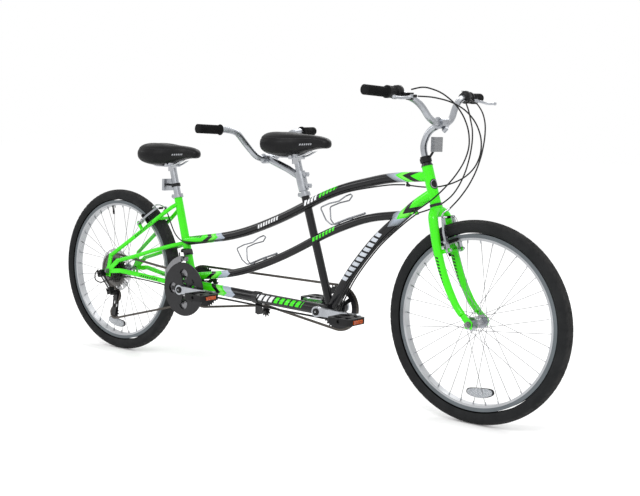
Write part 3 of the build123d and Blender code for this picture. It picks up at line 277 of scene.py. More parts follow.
class Finish:
    """Principled material whose nodes are added one call at a time."""

    def __init__(self, name, colour, roughness=0.5, metallic=0.0, **sockets):
        self.material = bpy.data.materials.new(name)
        self.material.use_nodes = True
        self.tree = self.material.node_tree
        self.surface = self.tree.nodes["Principled BSDF"]
        self.colour = colour
        self.place = self.add("ShaderNodeTexCoord", output="Object")
        self.put(self.surface, "Roughness", roughness)
        self.put(self.surface, "Metallic", metallic)
        for socket, value in sockets.items():
            self.put(self.surface, socket.replace("_", " "), value)

    def put(self, node, socket, value):
        if isinstance(value, bpy.types.NodeSocket):
            self.tree.links.new(value, node.inputs[socket])
        else:
            node.inputs[socket].default_value = value

    def add(self, kind, *values, output=0, **settings):
        """New node: values fill its sockets in order, or by name from a dict."""
        node = self.tree.nodes.new(kind)
        named = settings.pop("named", {})
        for setting, value in settings.items():
            setattr(node, setting, value)
        for socket, value in list(enumerate(values)) + list(named.items()):
            self.put(node, socket, value)
        return node.outputs[output]

    def calc(self, operation, a, b=0.0, c=0.0):
        return self.add("ShaderNodeMath", a, b, c, operation=operation)

    def along(self, direction, origin=(0, 0, 0)):
        """Distance of a point along a direction, from an origin."""
        offset = self.add("ShaderNodeVectorMath", self.place, tuple(origin), operation="SUBTRACT")
        return self.add("ShaderNodeVectorMath", offset, tuple(direction), operation="DOT_PRODUCT",
                        output="Value")

    def noise(self, scale, detail=3.0, stretch=None):
        place = self.place
        if stretch:
            place = self.add("ShaderNodeVectorMath", place, stretch, operation="MULTIPLY")
        return self.add("ShaderNodeTexNoise", named={"Vector": place, "Scale": scale, "Detail": detail})

    def cells(self, scale, feature="F1"):
        return self.add("ShaderNodeTexVoronoi", feature=feature,
                        named={"Vector": self.place, "Scale": scale})

    def spread(self, value, low, high, start=0.35, end=0.65):
        """Maps a texture's middle range onto low..high."""
        return self.add("ShaderNodeMapRange", value, start, end, low, high)

    def mix(self, factor, a, b):
        return self.add("ShaderNodeMix", data_type="RGBA", output=2,
                        named={0: factor, 6: a, 7: b})

    def vary(self, amount, scale):
        """Slow variation of the colour's depth."""
        if isinstance(self.colour, bpy.types.NodeSocket):
            dark = self.mix(amount, self.colour, (0, 0, 0, 1))
        else:
            dark = (*[c * (1 - amount) for c in self.colour[:3]], 1.0)
        self.colour = self.mix(self.spread(self.noise(scale), 0.0, 1.0), self.colour, dark)
        return self

    def rough(self, low, high, scale, stretch=None):
        self.put(self.surface, "Roughness", self.spread(self.noise(scale, 4.0, stretch), low, high))
        return self

    def bump(self, height, distance, strength=0.4):
        settings = {"Strength": strength, "Distance": distance, "Height": height}
        normal = self.add("ShaderNodeBump", named=settings)
        self.put(self.surface, "Normal", normal)
        return self

    def done(self):
        self.put(self.surface, "Base Color", self.colour)
        return self.material

    def window(self, place, along, half_width):
        """Side-view coordinates along and across a tube, and a mask of its width."""
        along = Vector((along[0], 0, along[1])).normalized()
        origin = (place[0], 0, place[1])
        run = self.along(along, origin)
        off = self.calc("ABSOLUTE", self.along((-along.z, 0, along.x), origin))
        return run, off, self.calc("LESS_THAN", off, half_width)

    def chevrons(self, place, along, half_width, point, bands, fade=None):
        """Arrow-shaped bands along a tube: (start, colour) in metres, the last start ends the pattern."""
        run, off, inside = self.window(place, along, half_width)
        run = self.add("ShaderNodeMath", off, point, run, operation="MULTIPLY_ADD")
        colour = bands[0][1]
        for start, after in bands[1:-1]:
            colour = self.mix(self.calc("GREATER_THAN", run, start), colour, after)
        if fade:
            start, end, after = fade
            amount = self.add("ShaderNodeMapRange", run, start, end, 0.0, 1.0)
            amount = self.calc("MULTIPLY", amount, self.calc("GREATER_THAN", run, start))
            colour = self.mix(amount, colour, after)
        inside = self.calc("MULTIPLY", inside, self.calc("LESS_THAN", run, bands[-1][0]))
        behind = self.calc("GREATER_THAN", run, bands[0][0])
        self.colour = self.mix(self.calc("MULTIPLY", inside, behind), self.colour, colour)
        return self

    def bars(self, place, along, length, half_height, pitch, colour, lean=0.5, fill=0.6):
        """Row of plain slanted bars along a tube."""
        direction = Vector((along[0], 0, along[1])).normalized()
        origin = (place[0], 0, place[1])
        run = self.along(direction, origin)
        off = self.along((-direction.z, 0, direction.x), origin)
        leaned = self.add("ShaderNodeMath", off, -lean, run, operation="MULTIPLY_ADD")
        share = self.calc("FRACT", self.calc("DIVIDE", leaned, pitch))
        mask = self.calc("LESS_THAN", share, fill)
        for value, limit in ((self.calc("ABSOLUTE", off), half_height), (leaned, length)):
            mask = self.calc("MULTIPLY", mask, self.calc("LESS_THAN", value, limit))
        mask = self.calc("MULTIPLY", mask, self.calc("GREATER_THAN", leaned, 0.0))
        self.colour = self.mix(mask, self.colour, colour)
        return self


def lacquer(name, colour):
    """Glossy sprayed enamel under clear coat, with a faint orange-peel surface."""
    return Finish(name, colour, 0.32, Coat_Weight=0.45, Coat_Roughness=0.06, Specular_IOR_Level=0.12)


def finish_lacquer(finish):
    finish.vary(0.12, 6.0).rough(0.24, 0.4, 18.0)
    return finish.bump(finish.noise(420.0, 2.0), 0.0002, 0.12).done()


def metal(name, colour, low, high, scale=60.0, stretch=None, grain=300.0, metallic=1.0):
    """Bare or plated metal with brushed variation."""
    made = Finish(name, colour, 0.3, metallic).vary(0.14, 24.0).rough(low, high, scale, stretch)
    return made.bump(made.noise(grain, 3.0, stretch), 0.0001, 0.2).done()


def moulded(name, colour, low, high, grain=900.0, depth=0.00012, **sockets):
    """Moulded plastic or rubber with a fine grain."""
    made = Finish(name, colour, 0.5, **sockets).vary(0.3, 12.0).rough(low, high, 30.0)
    return made.bump(made.noise(grain, 2.0), depth, 0.35).done()


# ---------------------------------------------------------------- finishes
# place, direction, half width, slant and band starts of the arrows at each tube's end, in metres
ARROWS = (
    ((0.640, 0.787), (-1, 0.0), 0.022, 2.2, (-0.05, 0.066, 0.098, 0.118, 0.128, 0.168), True),
    ((0.632, 0.726), (-0.160, -0.130), 0.0225, 2.0, (-0.05, 0.072, 0.106, 0.126, 0.137, 0.182), True),
    ((-0.480, 0.504), (1, 0.035), 0.024, 1.6, (-0.06, 0.142, 0.166, 0.184, 0.196, 0.232), False),
    ((-0.432, 0.361), (1, 0.08), 0.026, 1.6, (-0.06, 0.115, 0.138, 0.158, 0.170, 0.212), False),
    ((-0.420, 0.306), (1, -0.02), 0.024, 1.6, (-0.06, 0.132, 0.156, 0.178, 0.190, 0.232), False),
)
ARROW_COLOURS = (GREEN, BLACK, LIGHT_GREEN, GREEN, SILVER, BLACK)
FADED_SILVER = tone(112, 116, 122)
# place, direction, length, half height, pitch, colour, lean and filled share of each row of bars
BAR_ROWS = (
    ((0.458, 0.588), (-0.110, -0.133), 0.235, 0.0105, 0.0235, tone(196, 202, 210), -0.45, 0.66),
    ((0.130, 0.667), (0.235, 0.116), 0.066, 0.0085, 0.0165, WHITE, 0.5, 0.62),
    ((0.196, 0.700), (0.235, 0.116), 0.084, 0.0085, 0.0165, GREEN, 0.5, 0.62),
    ((-0.085, 0.566), (0.220, 0.095), 0.108, 0.0062, 0.0135, WHITE, 0.5, 0.6),
    ((0.170, 0.540), (0.220, 0.114), 0.112, 0.0065, 0.0160, GREEN, 0.5, 0.62),
    ((-0.095, 0.306), (1, -0.02), 0.100, 0.0105, 0.0250, WHITE, 0.5, 0.66),
    ((0.006, 0.304), (1, -0.02), 0.128, 0.0105, 0.0250, GREEN, 0.5, 0.66),
    ((-0.440, 0.505), (1, 0.035), 0.070, 0.0070, 0.0140, BLACK, 0.5, 0.6),
)


def frame_lacquer():
    """Black tubes with green ends, chevrons, and rows of plain slanted bars."""
    made = lacquer("lacquer_frame", BLACK)
    for place, along, half_width, point, starts, fades in ARROWS:
        fade = (*starts[-2:], FADED_SILVER) if fades else None
        made.chevrons(place, along, half_width, point, list(zip(starts, ARROW_COLOURS)), fade)
    for row in BAR_ROWS:
        made.bars(*row)
    return finish_lacquer(made)


def green_lacquer(name, rows):
    made = lacquer(name, GREEN)
    for place, along, length, half_height, pitch in rows:
        made.bars(place, along, length, half_height, pitch, BLACK, 0.5, 0.55)
    return finish_lacquer(made)


def machined_rim(name, centre):
    """Anodised rim with turned brake tracks: fine rings about the axle."""
    made = Finish(name, tone(150, 152, 156), 0.35, 0.8)
    flat = made.add("ShaderNodeVectorMath", made.place, (centre.x, 0, centre.z), operation="SUBTRACT")
    flat = made.add("ShaderNodeVectorMath", flat, (1, 0, 1), operation="MULTIPLY")
    radius = made.add("ShaderNodeVectorMath", flat, operation="LENGTH", output="Value")
    rings = made.calc("SINE", made.calc("MULTIPLY", radius, 9000.0))
    track = made.calc("GREATER_THAN", radius, 0.2735)
    made.colour = made.mix(track, tone(178, 180, 183), tone(104, 110, 114))
    made.vary(0.12, 9.0).rough(0.28, 0.46, 12.0)
    return made.bump(made.calc("MULTIPLY", rings, track), 0.00006, 0.3).done()


def tyre_rubber(name, centre):
    """Black rubber, dustier on the tread, with a faintly ribbed side wall."""
    made = Finish(name, tone(30, 31, 32), 0.8, Specular_IOR_Level=0.15)
    flat = made.add("ShaderNodeVectorMath", made.place, (centre.x, 0, centre.z), operation="SUBTRACT")
    flat = made.add("ShaderNodeVectorMath", flat, (1, 0, 1), operation="MULTIPLY")
    radius = made.add("ShaderNodeVectorMath", flat, operation="LENGTH", output="Value")
    crown = made.add("ShaderNodeMapRange", radius, 0.318, 0.330, 0.0, 1.0)
    dust = made.calc("MULTIPLY", crown, made.spread(made.noise(70.0, 5.0), 0.15, 0.6))
    made.colour = made.mix(dust, tone(30, 31, 32), tone(64, 63, 62))
    made.rough(0.62, 0.9, 26.0)
    ribs = made.calc("SINE", made.calc("MULTIPLY", radius, 4200.0))
    grain = made.calc("ADD", made.calc("MULTIPLY", ribs, 0.3), made.noise(700.0, 3.0))
    return made.bump(grain, 0.0002, 0.5).done()


def prismatic(name, colour, deep, strength=1.0):
    """Reflector lens: a field of small cells under a smooth clear face."""
    made = Finish(name, colour, 0.12, Coat_Weight=1.0, Coat_Roughness=0.03, Specular_IOR_Level=0.8)
    field = made.cells(360.0)
    made.colour = made.mix(made.spread(field, 0.0, 1.0, 0.1, 0.6), colour, deep)
    return made.bump(field, 0.0006, 0.7 * strength).done()


def leather_vinyl(name, rows):
    """Black vinyl with a pebbled grain, a slow random change in its depth of colour, and rows of grey bars.
    """
    made = Finish(name, tone(10, 10, 12), 0.5, Specular_IOR_Level=0.22)
    made.vary(0.3, 14.0).rough(0.36, 0.52, 40.0)
    for place, along, length, half_height, pitch in rows:
        made.bars(place, along, length, half_height, pitch, tone(150, 152, 156), 0.5, 0.6)
    pebble = made.calc("ADD", made.cells(620.0), made.calc("MULTIPLY", made.noise(90.0, 3.0), 0.6))
    return made.bump(pebble, 0.00035, 0.35).done()


LOOK = {
    "frame": frame_lacquer(),
    "green": green_lacquer("lacquer_green", []),
    "fork": green_lacquer("lacquer_fork", [((0.716, 0.535), (0.278, -0.961), 0.090, 0.0050, 0.011)]),
    "rear": green_lacquer("lacquer_rear", [((-0.612, 0.547), (-0.775, -0.60), 0.110, 0.0032, 0.010),
                                           ((-0.575, 0.320), (-0.99, 0.09), 0.090, 0.0040, 0.011)]),
    "alloy": metal("alloy_satin", tone(170, 173, 178), 0.2, 0.4, 40.0, (1, 6, 1)),
    "chrome": metal("chrome_plate", tone(186, 188, 192), 0.08, 0.22, 90.0),
    "wire": metal("wire_plated", tone(140, 142, 147), 0.2, 0.36, 90.0),
    "steel": metal("steel_plain", tone(136, 136, 139), 0.28, 0.5, 120.0),
    "cog": metal("steel_cog", tone(104, 102, 100), 0.3, 0.55, 160.0),
    "chain": metal("steel_chain", tone(86, 82, 78), 0.32, 0.6, 500.0, metallic=0.9),
    "ring": metal("steel_black", tone(22, 22, 25), 0.3, 0.48, 80.0, metallic=0.3),
    "black": metal("paint_black_part", tone(16, 16, 18), 0.28, 0.44, 60.0, metallic=0.1),
    "plastic": moulded("plastic_black", tone(16, 16, 18), 0.38, 0.56, Specular_IOR_Level=0.25),
    "rubber": moulded("rubber_black", tone(15, 15, 16), 0.62, 0.86, 600.0, 0.0002, Specular_IOR_Level=0.15),
    "housing": moulded("cable_housing", tone(10, 10, 12), 0.3, 0.45, 1200.0, 0.00005,
                       Specular_IOR_Level=0.25),
    "smoke": moulded("plastic_smoke", tone(120, 124, 128), 0.18, 0.34, 300.0, 0.0001, Alpha=0.45,
                     Specular_IOR_Level=0.6),
    "clear": prismatic("lens_clear", tone(196, 200, 204), tone(128, 132, 138)),
    "grey": prismatic("lens_grey", tone(128, 132, 136), tone(62, 66, 70)),
    "amber": prismatic("lens_amber", tone(238, 118, 20), tone(150, 48, 4)),
    "red": prismatic("lens_red", tone(190, 18, 16), tone(90, 4, 4)),
}
for end, centre in WHEEL_CENTRES.items():
    LOOK[end + "_rim"] = machined_rim("rim_" + end, centre)
    LOOK[end + "_tyre"] = tyre_rubber("tyre_" + end, centre)


def paint(node, *names, pick=None):
    """Gives a CAD node its finishes; pick(points) chooses one for each connected piece."""
    obj = cad[node]
    obj.data.materials.clear()
    for name in names:
        obj.data.materials.append(LOOK[name])
    if pick:
        for polygons, points in islands(obj):
            choice = pick(points)
            for index in polygons:
                obj.data.polygons[index].material_index = choice
    else:
        obj.data.polygons.foreach_set("material_index", [0] * len(obj.data.polygons))


def size_of(points):
    return points.max(0) - points.min(0)


PLAIN = {
    "head_tube": "green", "main_tubes": "frame", "rear_triangle": "rear", "bearing_cups": "black",
    "bottle_cages": "wire", "saddle_rails": "chrome", "stoker_stem": "alloy", "stoker_handlebar": "alloy",
    "clamp_brackets": "black", "drive_chain": "chain", "timing_chain": "chain", "rear_axle": "steel",
    "rd_knuckle": "plastic", "fork": "fork", "stem": "alloy", "handlebar": "alloy",
    "lever_brackets": "plastic", "front_axle": "steel", "front_brake_cable": "housing",
    "front_spokes": "steel", "rear_spokes": "steel", "front_hub": "alloy", "front_rim": "front_rim",
    "rear_rim": "rear_rim", "freewheel": "cog", "rear_crank": "alloy", "front_crank": "alloy",
    "front_timing_ring": "ring", "idler_wheel": "ring",
    "right_brake_lever": "alloy", "left_brake_lever": "alloy", "right_shifter": "plastic",
    "left_shifter": "plastic", "rd_outer_link": "black", "rd_inner_link": "black", "rd_p_knuckle": "plastic",
    "rd_cage": "black", "guide_pulley": "plastic", "tension_pulley": "plastic", "fd_link": "black",
    "fd_cage": "steel",
}
for node, look in PLAIN.items():
    paint(node, look)
paint("chainrings", "ring", "steel")
for polygon in cad["chainrings"].data.polygons:
    polygon.material_index = int(GUARD_INNER_FACE < polygon.center.y < 0)
# sizes that tell a node's small pieces from its large ones
LENS_SIZE = 6 * MM
POST_CLAMP_SIZE = 40 * MM
REFLECTOR_WIDTH = 45 * MM
PAD_SIZE = 60 * MM


def thinner(axis, limit):
    """Picks the second finish for the pieces that measure less than a limit along an axis."""
    return lambda points: int(size_of(points)[axis] < limit)


paint("rear_hub", "alloy", "smoke", pick=thinner(1, LENS_SIZE))
paint("seatposts", "alloy", "plastic", pick=thinner(2, POST_CLAMP_SIZE))
paint("front_reflector", "grey", "plastic", pick=thinner(1, REFLECTOR_WIDTH))
for end in ("front", "rear"):
    for side in ("right", "left"):
        paint(f"{end}_brake_arm_{side}", "alloy", "rubber", pick=thinner(2, PAD_SIZE))
        paint(f"{end}_{side}_pedal", "plastic", "amber", pick=thinner(0, LENS_SIZE))

# ---------------------------------------------------------------- tyres
TREAD_DEPTH = 1.9 * MM
AROUND = 480


def tread_cut(across_angle, step):
    """Share of the tread depth cut away at a point: grooves round the tyre and slanted slits."""
    width = abs(across_angle)
    if width > 0.98:
        return 0.0
    groove = any(abs(width - line) < 0.035 for line in (0.16, 0.42))
    slit = (step + round(width * 9)) % 6 < 2 and 0.2 < width < 0.92
    return 1.0 if groove else 0.8 if slit else 0.0


def tyre(end):
    """Closed tyre: tread and side walls outside, and a plain wall inside that closes it near the rim."""
    centre = WHEEL_CENTRES[end]
    core = TYRE_RADIUS - TYRE_SECTION
    open_angle = 2.32
    outer = [-open_angle + 2 * open_angle * i / 52 for i in range(53)]
    piece = Piece(end + "_tyre_tread", end + "_wheel", "tyre", LOOK[end + "_tyre"])
    rings = []
    for step in range(AROUND):
        turn = 2 * pi * step / AROUND
        spoke = Vector((cos(turn), 0, sin(turn)))
        ring = []
        for angle in outer:
            size = TYRE_SECTION - TREAD_DEPTH * tread_cut(angle, step)
            ring.append(centre + spoke * (core + size * cos(angle)) + Y * size * sin(angle))
        for angle in reversed(outer[::4]):
            size = TYRE_SECTION - TYRE_WALL
            ring.append(centre + spoke * (core + size * cos(angle)) + Y * size * sin(angle))
        rings.append(ring)
    made = piece.skin(rings, closed=True).done(radians(30))
    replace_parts(made, end + "_tyre")


# ---------------------------------------------------------------- wheel trim
LENS_RADIUS = 227 * MM
LENS_HALF = (46 * MM, 15 * MM)


def lens_ring(centre, angle, height, grow):
    """Outline of a spoke reflector that curves with the wheel; height is in millimetres across it."""
    ring = []
    for i in range(48):
        turn = 2 * pi * i / 48
        around = angle + LENS_HALF[0] * grow * cos(turn) / LENS_RADIUS
        radius = LENS_RADIUS + LENS_HALF[1] * grow * abs(sin(turn)) ** 0.7 * (1 if sin(turn) > 0 else -1)
        ring.append(centre + Vector((radius * cos(around), height * MM, radius * sin(around))))
    return ring


def wheel_trim(end, valve_angle, lens_angle):
    """Spoke nipples, the valve and the reflector between the spokes."""
    centre = WHEEL_CENTRES[end]
    piece = Piece(end + "_wheel_trim", end + "_wheel", "steel",
                  LOOK["chrome"], LOOK["rubber"], LOOK["clear"], LOOK["plastic"])
    for index in range(SPOKES):
        turn = 2 * pi * index / SPOKES
        inward = -Vector((cos(turn), 0, sin(turn)))
        profile = [(2.0 * MM, 0), (2.0 * MM, 5 * MM), (1.5 * MM, 9 * MM), (1.2 * MM, 11 * MM)]
        piece.skin(lathe_rings(profile, centre - inward * (RIM_INNER + 0.5 * MM), inward, 8))
    inward = -Vector((cos(valve_angle), 0, sin(valve_angle)))
    root = centre - inward * RIM_INNER
    stem = [(4.6, -0.5), (4.6, 1.5), (3.1, 4), (3.0, 20), (4.1, 21), (4.1, 33), (3.2, 35), (1.0, 35.4)]
    piece.skin(lathe_rings([(r * MM, h * MM) for r, h in stem], root, inward, 16), 1)
    for side in (-1, 1):
        levels = ((1.0, 1.0), (5.5, 1.0), (7.0, 0.94), (7.6, 0.82))
        piece.skin([lens_ring(centre, lens_angle, side * high, grow) for high, grow in levels], 2)
    tray = ((-1.6, 1.02), (-1.6, 1.1), (1.6, 1.1), (1.6, 1.02))
    piece.skin([lens_ring(centre, lens_angle, high, grow) for high, grow in tray], 3)
    piece.done()


TRIM_ANGLES = {"front": (118, -84), "rear": (103, -97)}
for end, (valve_angle, lens_angle) in TRIM_ANGLES.items():
    tyre(end)
    wheel_trim(end, radians(valve_angle), radians(lens_angle))

# ---------------------------------------------------------------- saddles
SADDLE_LENGTH_POINTS = 80
SADDLE_ROUND_POINTS = 60
# share of the length from tail to nose: half width, crown and underside, as shares of the saddle's box
SADDLE_STATIONS = ((0.0, 0.50, 0.86, 0.22), (0.08, 0.90, 0.97, 0.08), (0.20, 1.0, 1.0, 0.0),
                   (0.36, 0.88, 0.98, 0.0), (0.52, 0.56, 0.94, 0.10), (0.68, 0.36, 0.92, 0.27),
                   (0.84, 0.29, 0.86, 0.36), (1.0, 0.22, 0.74, 0.38))


def eased_between(share, column):
    """Value of one saddle station column at a share of the length, with no corners."""
    xs = [station[0] for station in SADDLE_STATIONS]
    ys = [station[column] for station in SADDLE_STATIONS]
    k = max(i for i in range(len(xs) - 1) if xs[i] <= share or i == 0)
    slopes = []
    for i in (k, k + 1):
        before, after = max(i - 1, 0), min(i + 1, len(xs) - 1)
        slopes.append((ys[after] - ys[before]) / (xs[after] - xs[before]))
    gap = xs[k + 1] - xs[k]
    t = (share - xs[k]) / gap
    return ((2 * t ** 3 - 3 * t ** 2 + 1) * ys[k] + (t ** 3 - 2 * t ** 2 + t) * gap * slopes[0]
            + (3 * t ** 2 - 2 * t ** 3) * ys[k + 1] + (t ** 3 - t ** 2) * gap * slopes[1])


def saddle(name, low, high):
    """Padded cover with a crowned top, a sewn seam above its skirt and a shallow centre channel."""
    length, height, half = high.x - low.x, high.z - low.z, (high.y - low.y) / 2
    cover = Piece(name, "frame", "vinyl", LOOK["vinyl"], LOOK["plastic"])
    stitches = Piece(name + "_stitches", "frame", "vinyl", LOOK["thread"])
    rings, seams = [], []
    for i in range(SADDLE_LENGTH_POINTS + 1):
        share = 0.5 - 0.5 * cos(pi * i / SADDLE_LENGTH_POINTS)
        tail, nose = min(share / 0.07, 1), min((1 - share) / 0.07, 1)
        closing = max(0.02, (1 - (1 - tail) ** 2) ** 0.5 * (1 - (1 - nose) ** 2) ** 0.5)
        wide = half * eased_between(share, 1) * closing
        top, base = (low.z + height * eased_between(share, column) for column in (2, 3))
        middle = base + (top - base) * 0.45
        top, base = middle + (top - middle) * closing ** 0.8, middle + (base - middle) * closing ** 0.8
        ring = []
        for j in range(SADDLE_ROUND_POINTS):
            turn = 2 * pi * j / SADDLE_ROUND_POINTS
            c, s = cos(turn), sin(turn)
            y = wide * (abs(c) ** 0.72) * (1 if c > 0 else -1)
            if s >= 0:
                z = middle + (top - middle) * abs(s) ** 0.86
                channel = exp(-(y / (0.13 * half)) ** 2) * sin(pi * min(1, share / 0.85))
                z -= 0.06 * height * channel * abs(s)
            else:
                z = middle - (middle - base) * abs(s) ** 0.62
                y *= 1 - 0.14 * abs(s)
            seam = exp(-((turn if turn < pi / 2 else pi - turn) - 0.42) ** 2 / 0.004) if s > 0 else 0
            ring.append(Vector((low.x + length * share, y * (1 - 0.022 * seam), z - 0.9 * MM * seam)))
        rings.append(ring)
        seams.append([ring[round(SADDLE_ROUND_POINTS * 0.49 / (2 * pi))],
                      ring[round(SADDLE_ROUND_POINTS * (pi - 0.49) / (2 * pi))]])
    cover.skin(rings)
    made = cover.done(radians(60))
    for side in (0, 1):
        line = eased([pair[side] for pair in seams[6:-5:2]], 0.002)
        for start in range(0, len(line) - 3, 3):
            stitch = [line[start] + Vector((0, 0, 0.0002)), line[start + 1], line[start + 2]]
            stitches.skin(tube_rings(stitch, 0.00045, 6))
    stitches.done()
    return made


bounds_of = [(Vector(points.min(0)), Vector(points.max(0))) for _, points in islands(cad["saddle_covers"])]
bounds_of.sort(key=lambda pair: -pair[0].x)
side_rows = [((low.x + 0.165, low.z + 0.044), (1, 0.06), 0.045, 0.0030, 0.008) for low, _ in bounds_of]
LOOK["vinyl"] = leather_vinyl("vinyl_saddle", side_rows)
LOOK["thread"] = moulded("thread_grey", tone(70, 70, 74), 0.7, 0.9, 1500.0, 0.0001)
saddles = [saddle(name, low, high) for name, (low, high) in zip(("front_saddle", "rear_saddle"), bounds_of)]
for obj in saddles:
    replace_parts(obj, "saddle_covers")


# ---------------------------------------------------------------- grips and shifters
def grips(node, body):
    """Ribbed rubber sleeves with a flange at the inner end and a domed outer end."""
    for number, (_, points) in enumerate(islands(cad[node])):
        centre, axis, half = main_line(points)
        if axis.dot(Vector((0, 1, 0))) * centre.y < 0:
            axis = -axis
        profile = [(11.3, -half / MM), (18.6, -half / MM), (19.0, 1 - half / MM), (19.0, 3 - half / MM),
                   (15.6, 4.2 - half / MM)]
        along = 6 - half / MM
        while along < half / MM - 9:
            profile += [(14.6, along), (15.9, along + 0.7), (15.9, along + 2.0), (14.6, along + 2.7)]
            along += 3.6
        profile += [(15.9, half / MM - 6), (15.9, half / MM - 1.6), (14.6, half / MM - 0.4),
                    (10, half / MM), (2, half / MM)]
        piece = Piece(f"{node}_sleeve_{number}", body, "rubber", LOOK["rubber"])
        rings = lathe_rings([(r * MM, h * MM) for r, h in profile], centre, axis, 40)
        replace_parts(piece.skin(rings).done(radians(50)), node)


grips("handlebar_grips", "steering")
grips("stoker_grips", "frame")

def shifter_trim(side):
    """Ribs round the twist shifter, and the rounded housing with a plain window beside it."""
    _, points = max(islands(cad[side + "_shifter"]), key=lambda item: len(item[1]))
    centre, axis, half = main_line(points)
    if axis.y * centre.y < 0:
        axis = -axis
    ribs = Piece(side + "_shifter_ribs", side + "_shifter", "rubber", LOOK["rubber"])
    tangent, lift = across(axis)
    for i in range(18):
        turn = 2 * pi * i / 18
        out = cos(turn) * tangent + sin(turn) * lift
        basis = Matrix((axis.cross(out), out, axis)).transposed()
        place = centre + out * 17.4 * MM - axis * 3 * MM
        ribs.box(place, (1.5 * MM, 1.3 * MM, half * 0.7), basis, edge=0.5 * MM)
    ribs.done()
    housing = Piece(side + "_shifter_housing", "steering", "black_plastic", LOOK["plastic"], LOOK["grey"])
    middle = centre - axis * (half + 15 * MM)
    sizes = [(0.15, -1.0), (0.62, -0.92), (0.86, -0.7), (1.0, -0.3), (1.0, 0.35), (0.92, 0.7), (0.7, 0.9),
             (0.3, 0.97)]
    rings = []
    for grow, along in sizes:
        ring = circle(middle + axis * along * 18 * MM, axis, grow * 22 * MM, 28)
        offset = Vector((6 * MM * grow, 0, 4 * MM * grow))
        rings.append([p + offset + Vector((0.25 * (middle.x - p.x), 0, 0.12 * (middle.z - p.z)))
                      for p in ring])
    housing.skin(rings)
    window = middle + Vector((-2 * MM, 0, 21.5 * MM))
    housing.box(window, (6 * MM, 9 * MM, 1.2 * MM), Matrix.Identity(3), 1)
    housing.done(radians(50))


for side in ("right", "left"):
    shifter_trim(side)

# ---------------------------------------------------------------- control cables
cable_mesh = cad["control_cables"].data
for number, (polygons, points) in enumerate(islands(cad["control_cables"])):
    steering = points[:, 0].max() > 0.68
    work = bmesh.new()
    seen = {}
    for index in polygons:
        corners = []
        for v in cable_mesh.polygons[index].vertices:
            key = tuple(round(c * 2e5) for c in cable_mesh.vertices[v].co)
            if key not in seen:
                seen[key] = work.verts.new(cable_mesh.vertices[v].co)
            corners.append(seen[key])
        if len(set(corners)) == len(corners):
            try:
                work.faces.new(corners)
            except ValueError:
                continue
    for _ in range(3):
        long_edges = [edge for edge in work.edges if edge.calc_length() > 0.016]
        if steering and long_edges:
            bmesh.ops.subdivide_edges(work, edges=long_edges, cuts=1)
    bmesh.ops.triangulate(work, faces=work.faces)
    mesh = bpy.data.meshes.new(f"control_cable_{number}")
    work.to_mesh(mesh)
    work.free()
    mesh.materials.append(LOOK["housing"])
    tidy_normals(mesh, radians(50))
    obj = bpy.data.objects.new(mesh.name, mesh)
    bpy.context.scene.collection.objects.link(obj)
    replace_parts(obj, "control_cables")
    if steering:
        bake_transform(obj)
    else:
        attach(obj, "frame")


# ---------------------------------------------------------------- brakes
def brake_trim(end, parent):
    """Noodle, boot, inner wire, springs and bolts of a linear-pull brake."""
    out = Vector(joints[end + "_brake_arm_right"]["axis"]).normalized()
    if out.x < 0 if end == "front" else out.z < 0:
        out = -out
    up = out.cross(Y)
    if up.z < 0:
        up = -up
    pivots = {side: Vector(joints[f"{end}_brake_arm_{side}"]["pos_m"]) for side in ("right", "left")}
    middle = (pivots["right"] + pivots["left"]) / 2
    top = middle + up * 107 * MM
    for side, sign in (("right", -1), ("left", 1)):
        body = f"{end}_brake_arm_{side}"
        piece = Piece(body + "_trim", body, "steel", LOOK["chrome"], LOOK["rubber"], LOOK["steel"])
        pivot = pivots[side]
        post = pivot + up * 27 * MM + Y * sign * 7 * MM
        piece.nut(post, Y * sign, 5 * MM, 5 * MM)
        washer = [(7.5 * MM, -3 * MM), (7.5 * MM, 0), (4 * MM, 0.6 * MM)]
        piece.skin(lathe_rings(washer, post, Y * sign, 20), 2)
        spring = [pivot + up * 4 * MM + Y * sign * 11 * MM - out * 2 * MM,
                  pivot + up * 30 * MM + Y * sign * 10 * MM - out * 3 * MM,
                  pivot + up * 66 * MM + Y * sign * 1 * MM - out * 3 * MM]
        piece.skin(tube_rings(eased(spring), 1.1 * MM, 8), 2)
        if sign > 0:
            piece.screw(top + Y * sign * 27 * MM + out * 4 * MM, out, 4.5 * MM, 5 * MM)
            wire = [top + Y * 12 * MM + out * 6.2 * MM, top + Y * 30 * MM + out * 6.2 * MM,
                    top + Y * 44 * MM + out * 5 * MM - up * 6 * MM,
                    top + Y * 47 * MM + out * 4 * MM - up * 20 * MM]
            piece.skin(tube_rings(eased(wire), 0.8 * MM, 8), 2)
            piece.skin(tube_rings([wire[-1] + up * 4 * MM, wire[-1] - up * 3 * MM], 1.4 * MM, 10))
        else:
            feed = Vector(CABLE_ENDS[end])
            noodle = [feed] + [middle + up * u * MM + Y * y * MM + out * o * MM for u, y, o in NOODLES[end]]
            piece.skin(tube_rings(eased(noodle, 0.004), 2.6 * MM, 14))
            piece.skin(lathe_rings([(3.6 * MM, 0), (3.6 * MM, 9 * MM)], feed,
                                   (noodle[1] - feed).normalized(), 16))
            start = noodle[-1]
            bellows = [(2.7 * MM, -1 * MM)]
            for fold in range(6):
                bellows += [(4.6 * MM, (1 + fold * 3.4) * MM), (3.1 * MM, (2.7 + fold * 3.4) * MM)]
            bellows.append((1.2 * MM, 22 * MM))
            piece.skin(lathe_rings(bellows, start, Y, 18), 1)
            piece.skin(tube_rings([start + Y * 20 * MM, start + Y * 25 * MM], 0.8 * MM, 8), 2)
        piece.done(radians(45))
    bolts = Piece(end + "_brake_bolts", parent, "steel", LOOK["chrome"])
    for side in ("right", "left"):
        bolts.screw(pivots[side] + out * 8.9 * MM, out, 5.2 * MM, 4 * MM)
    bolts.done()


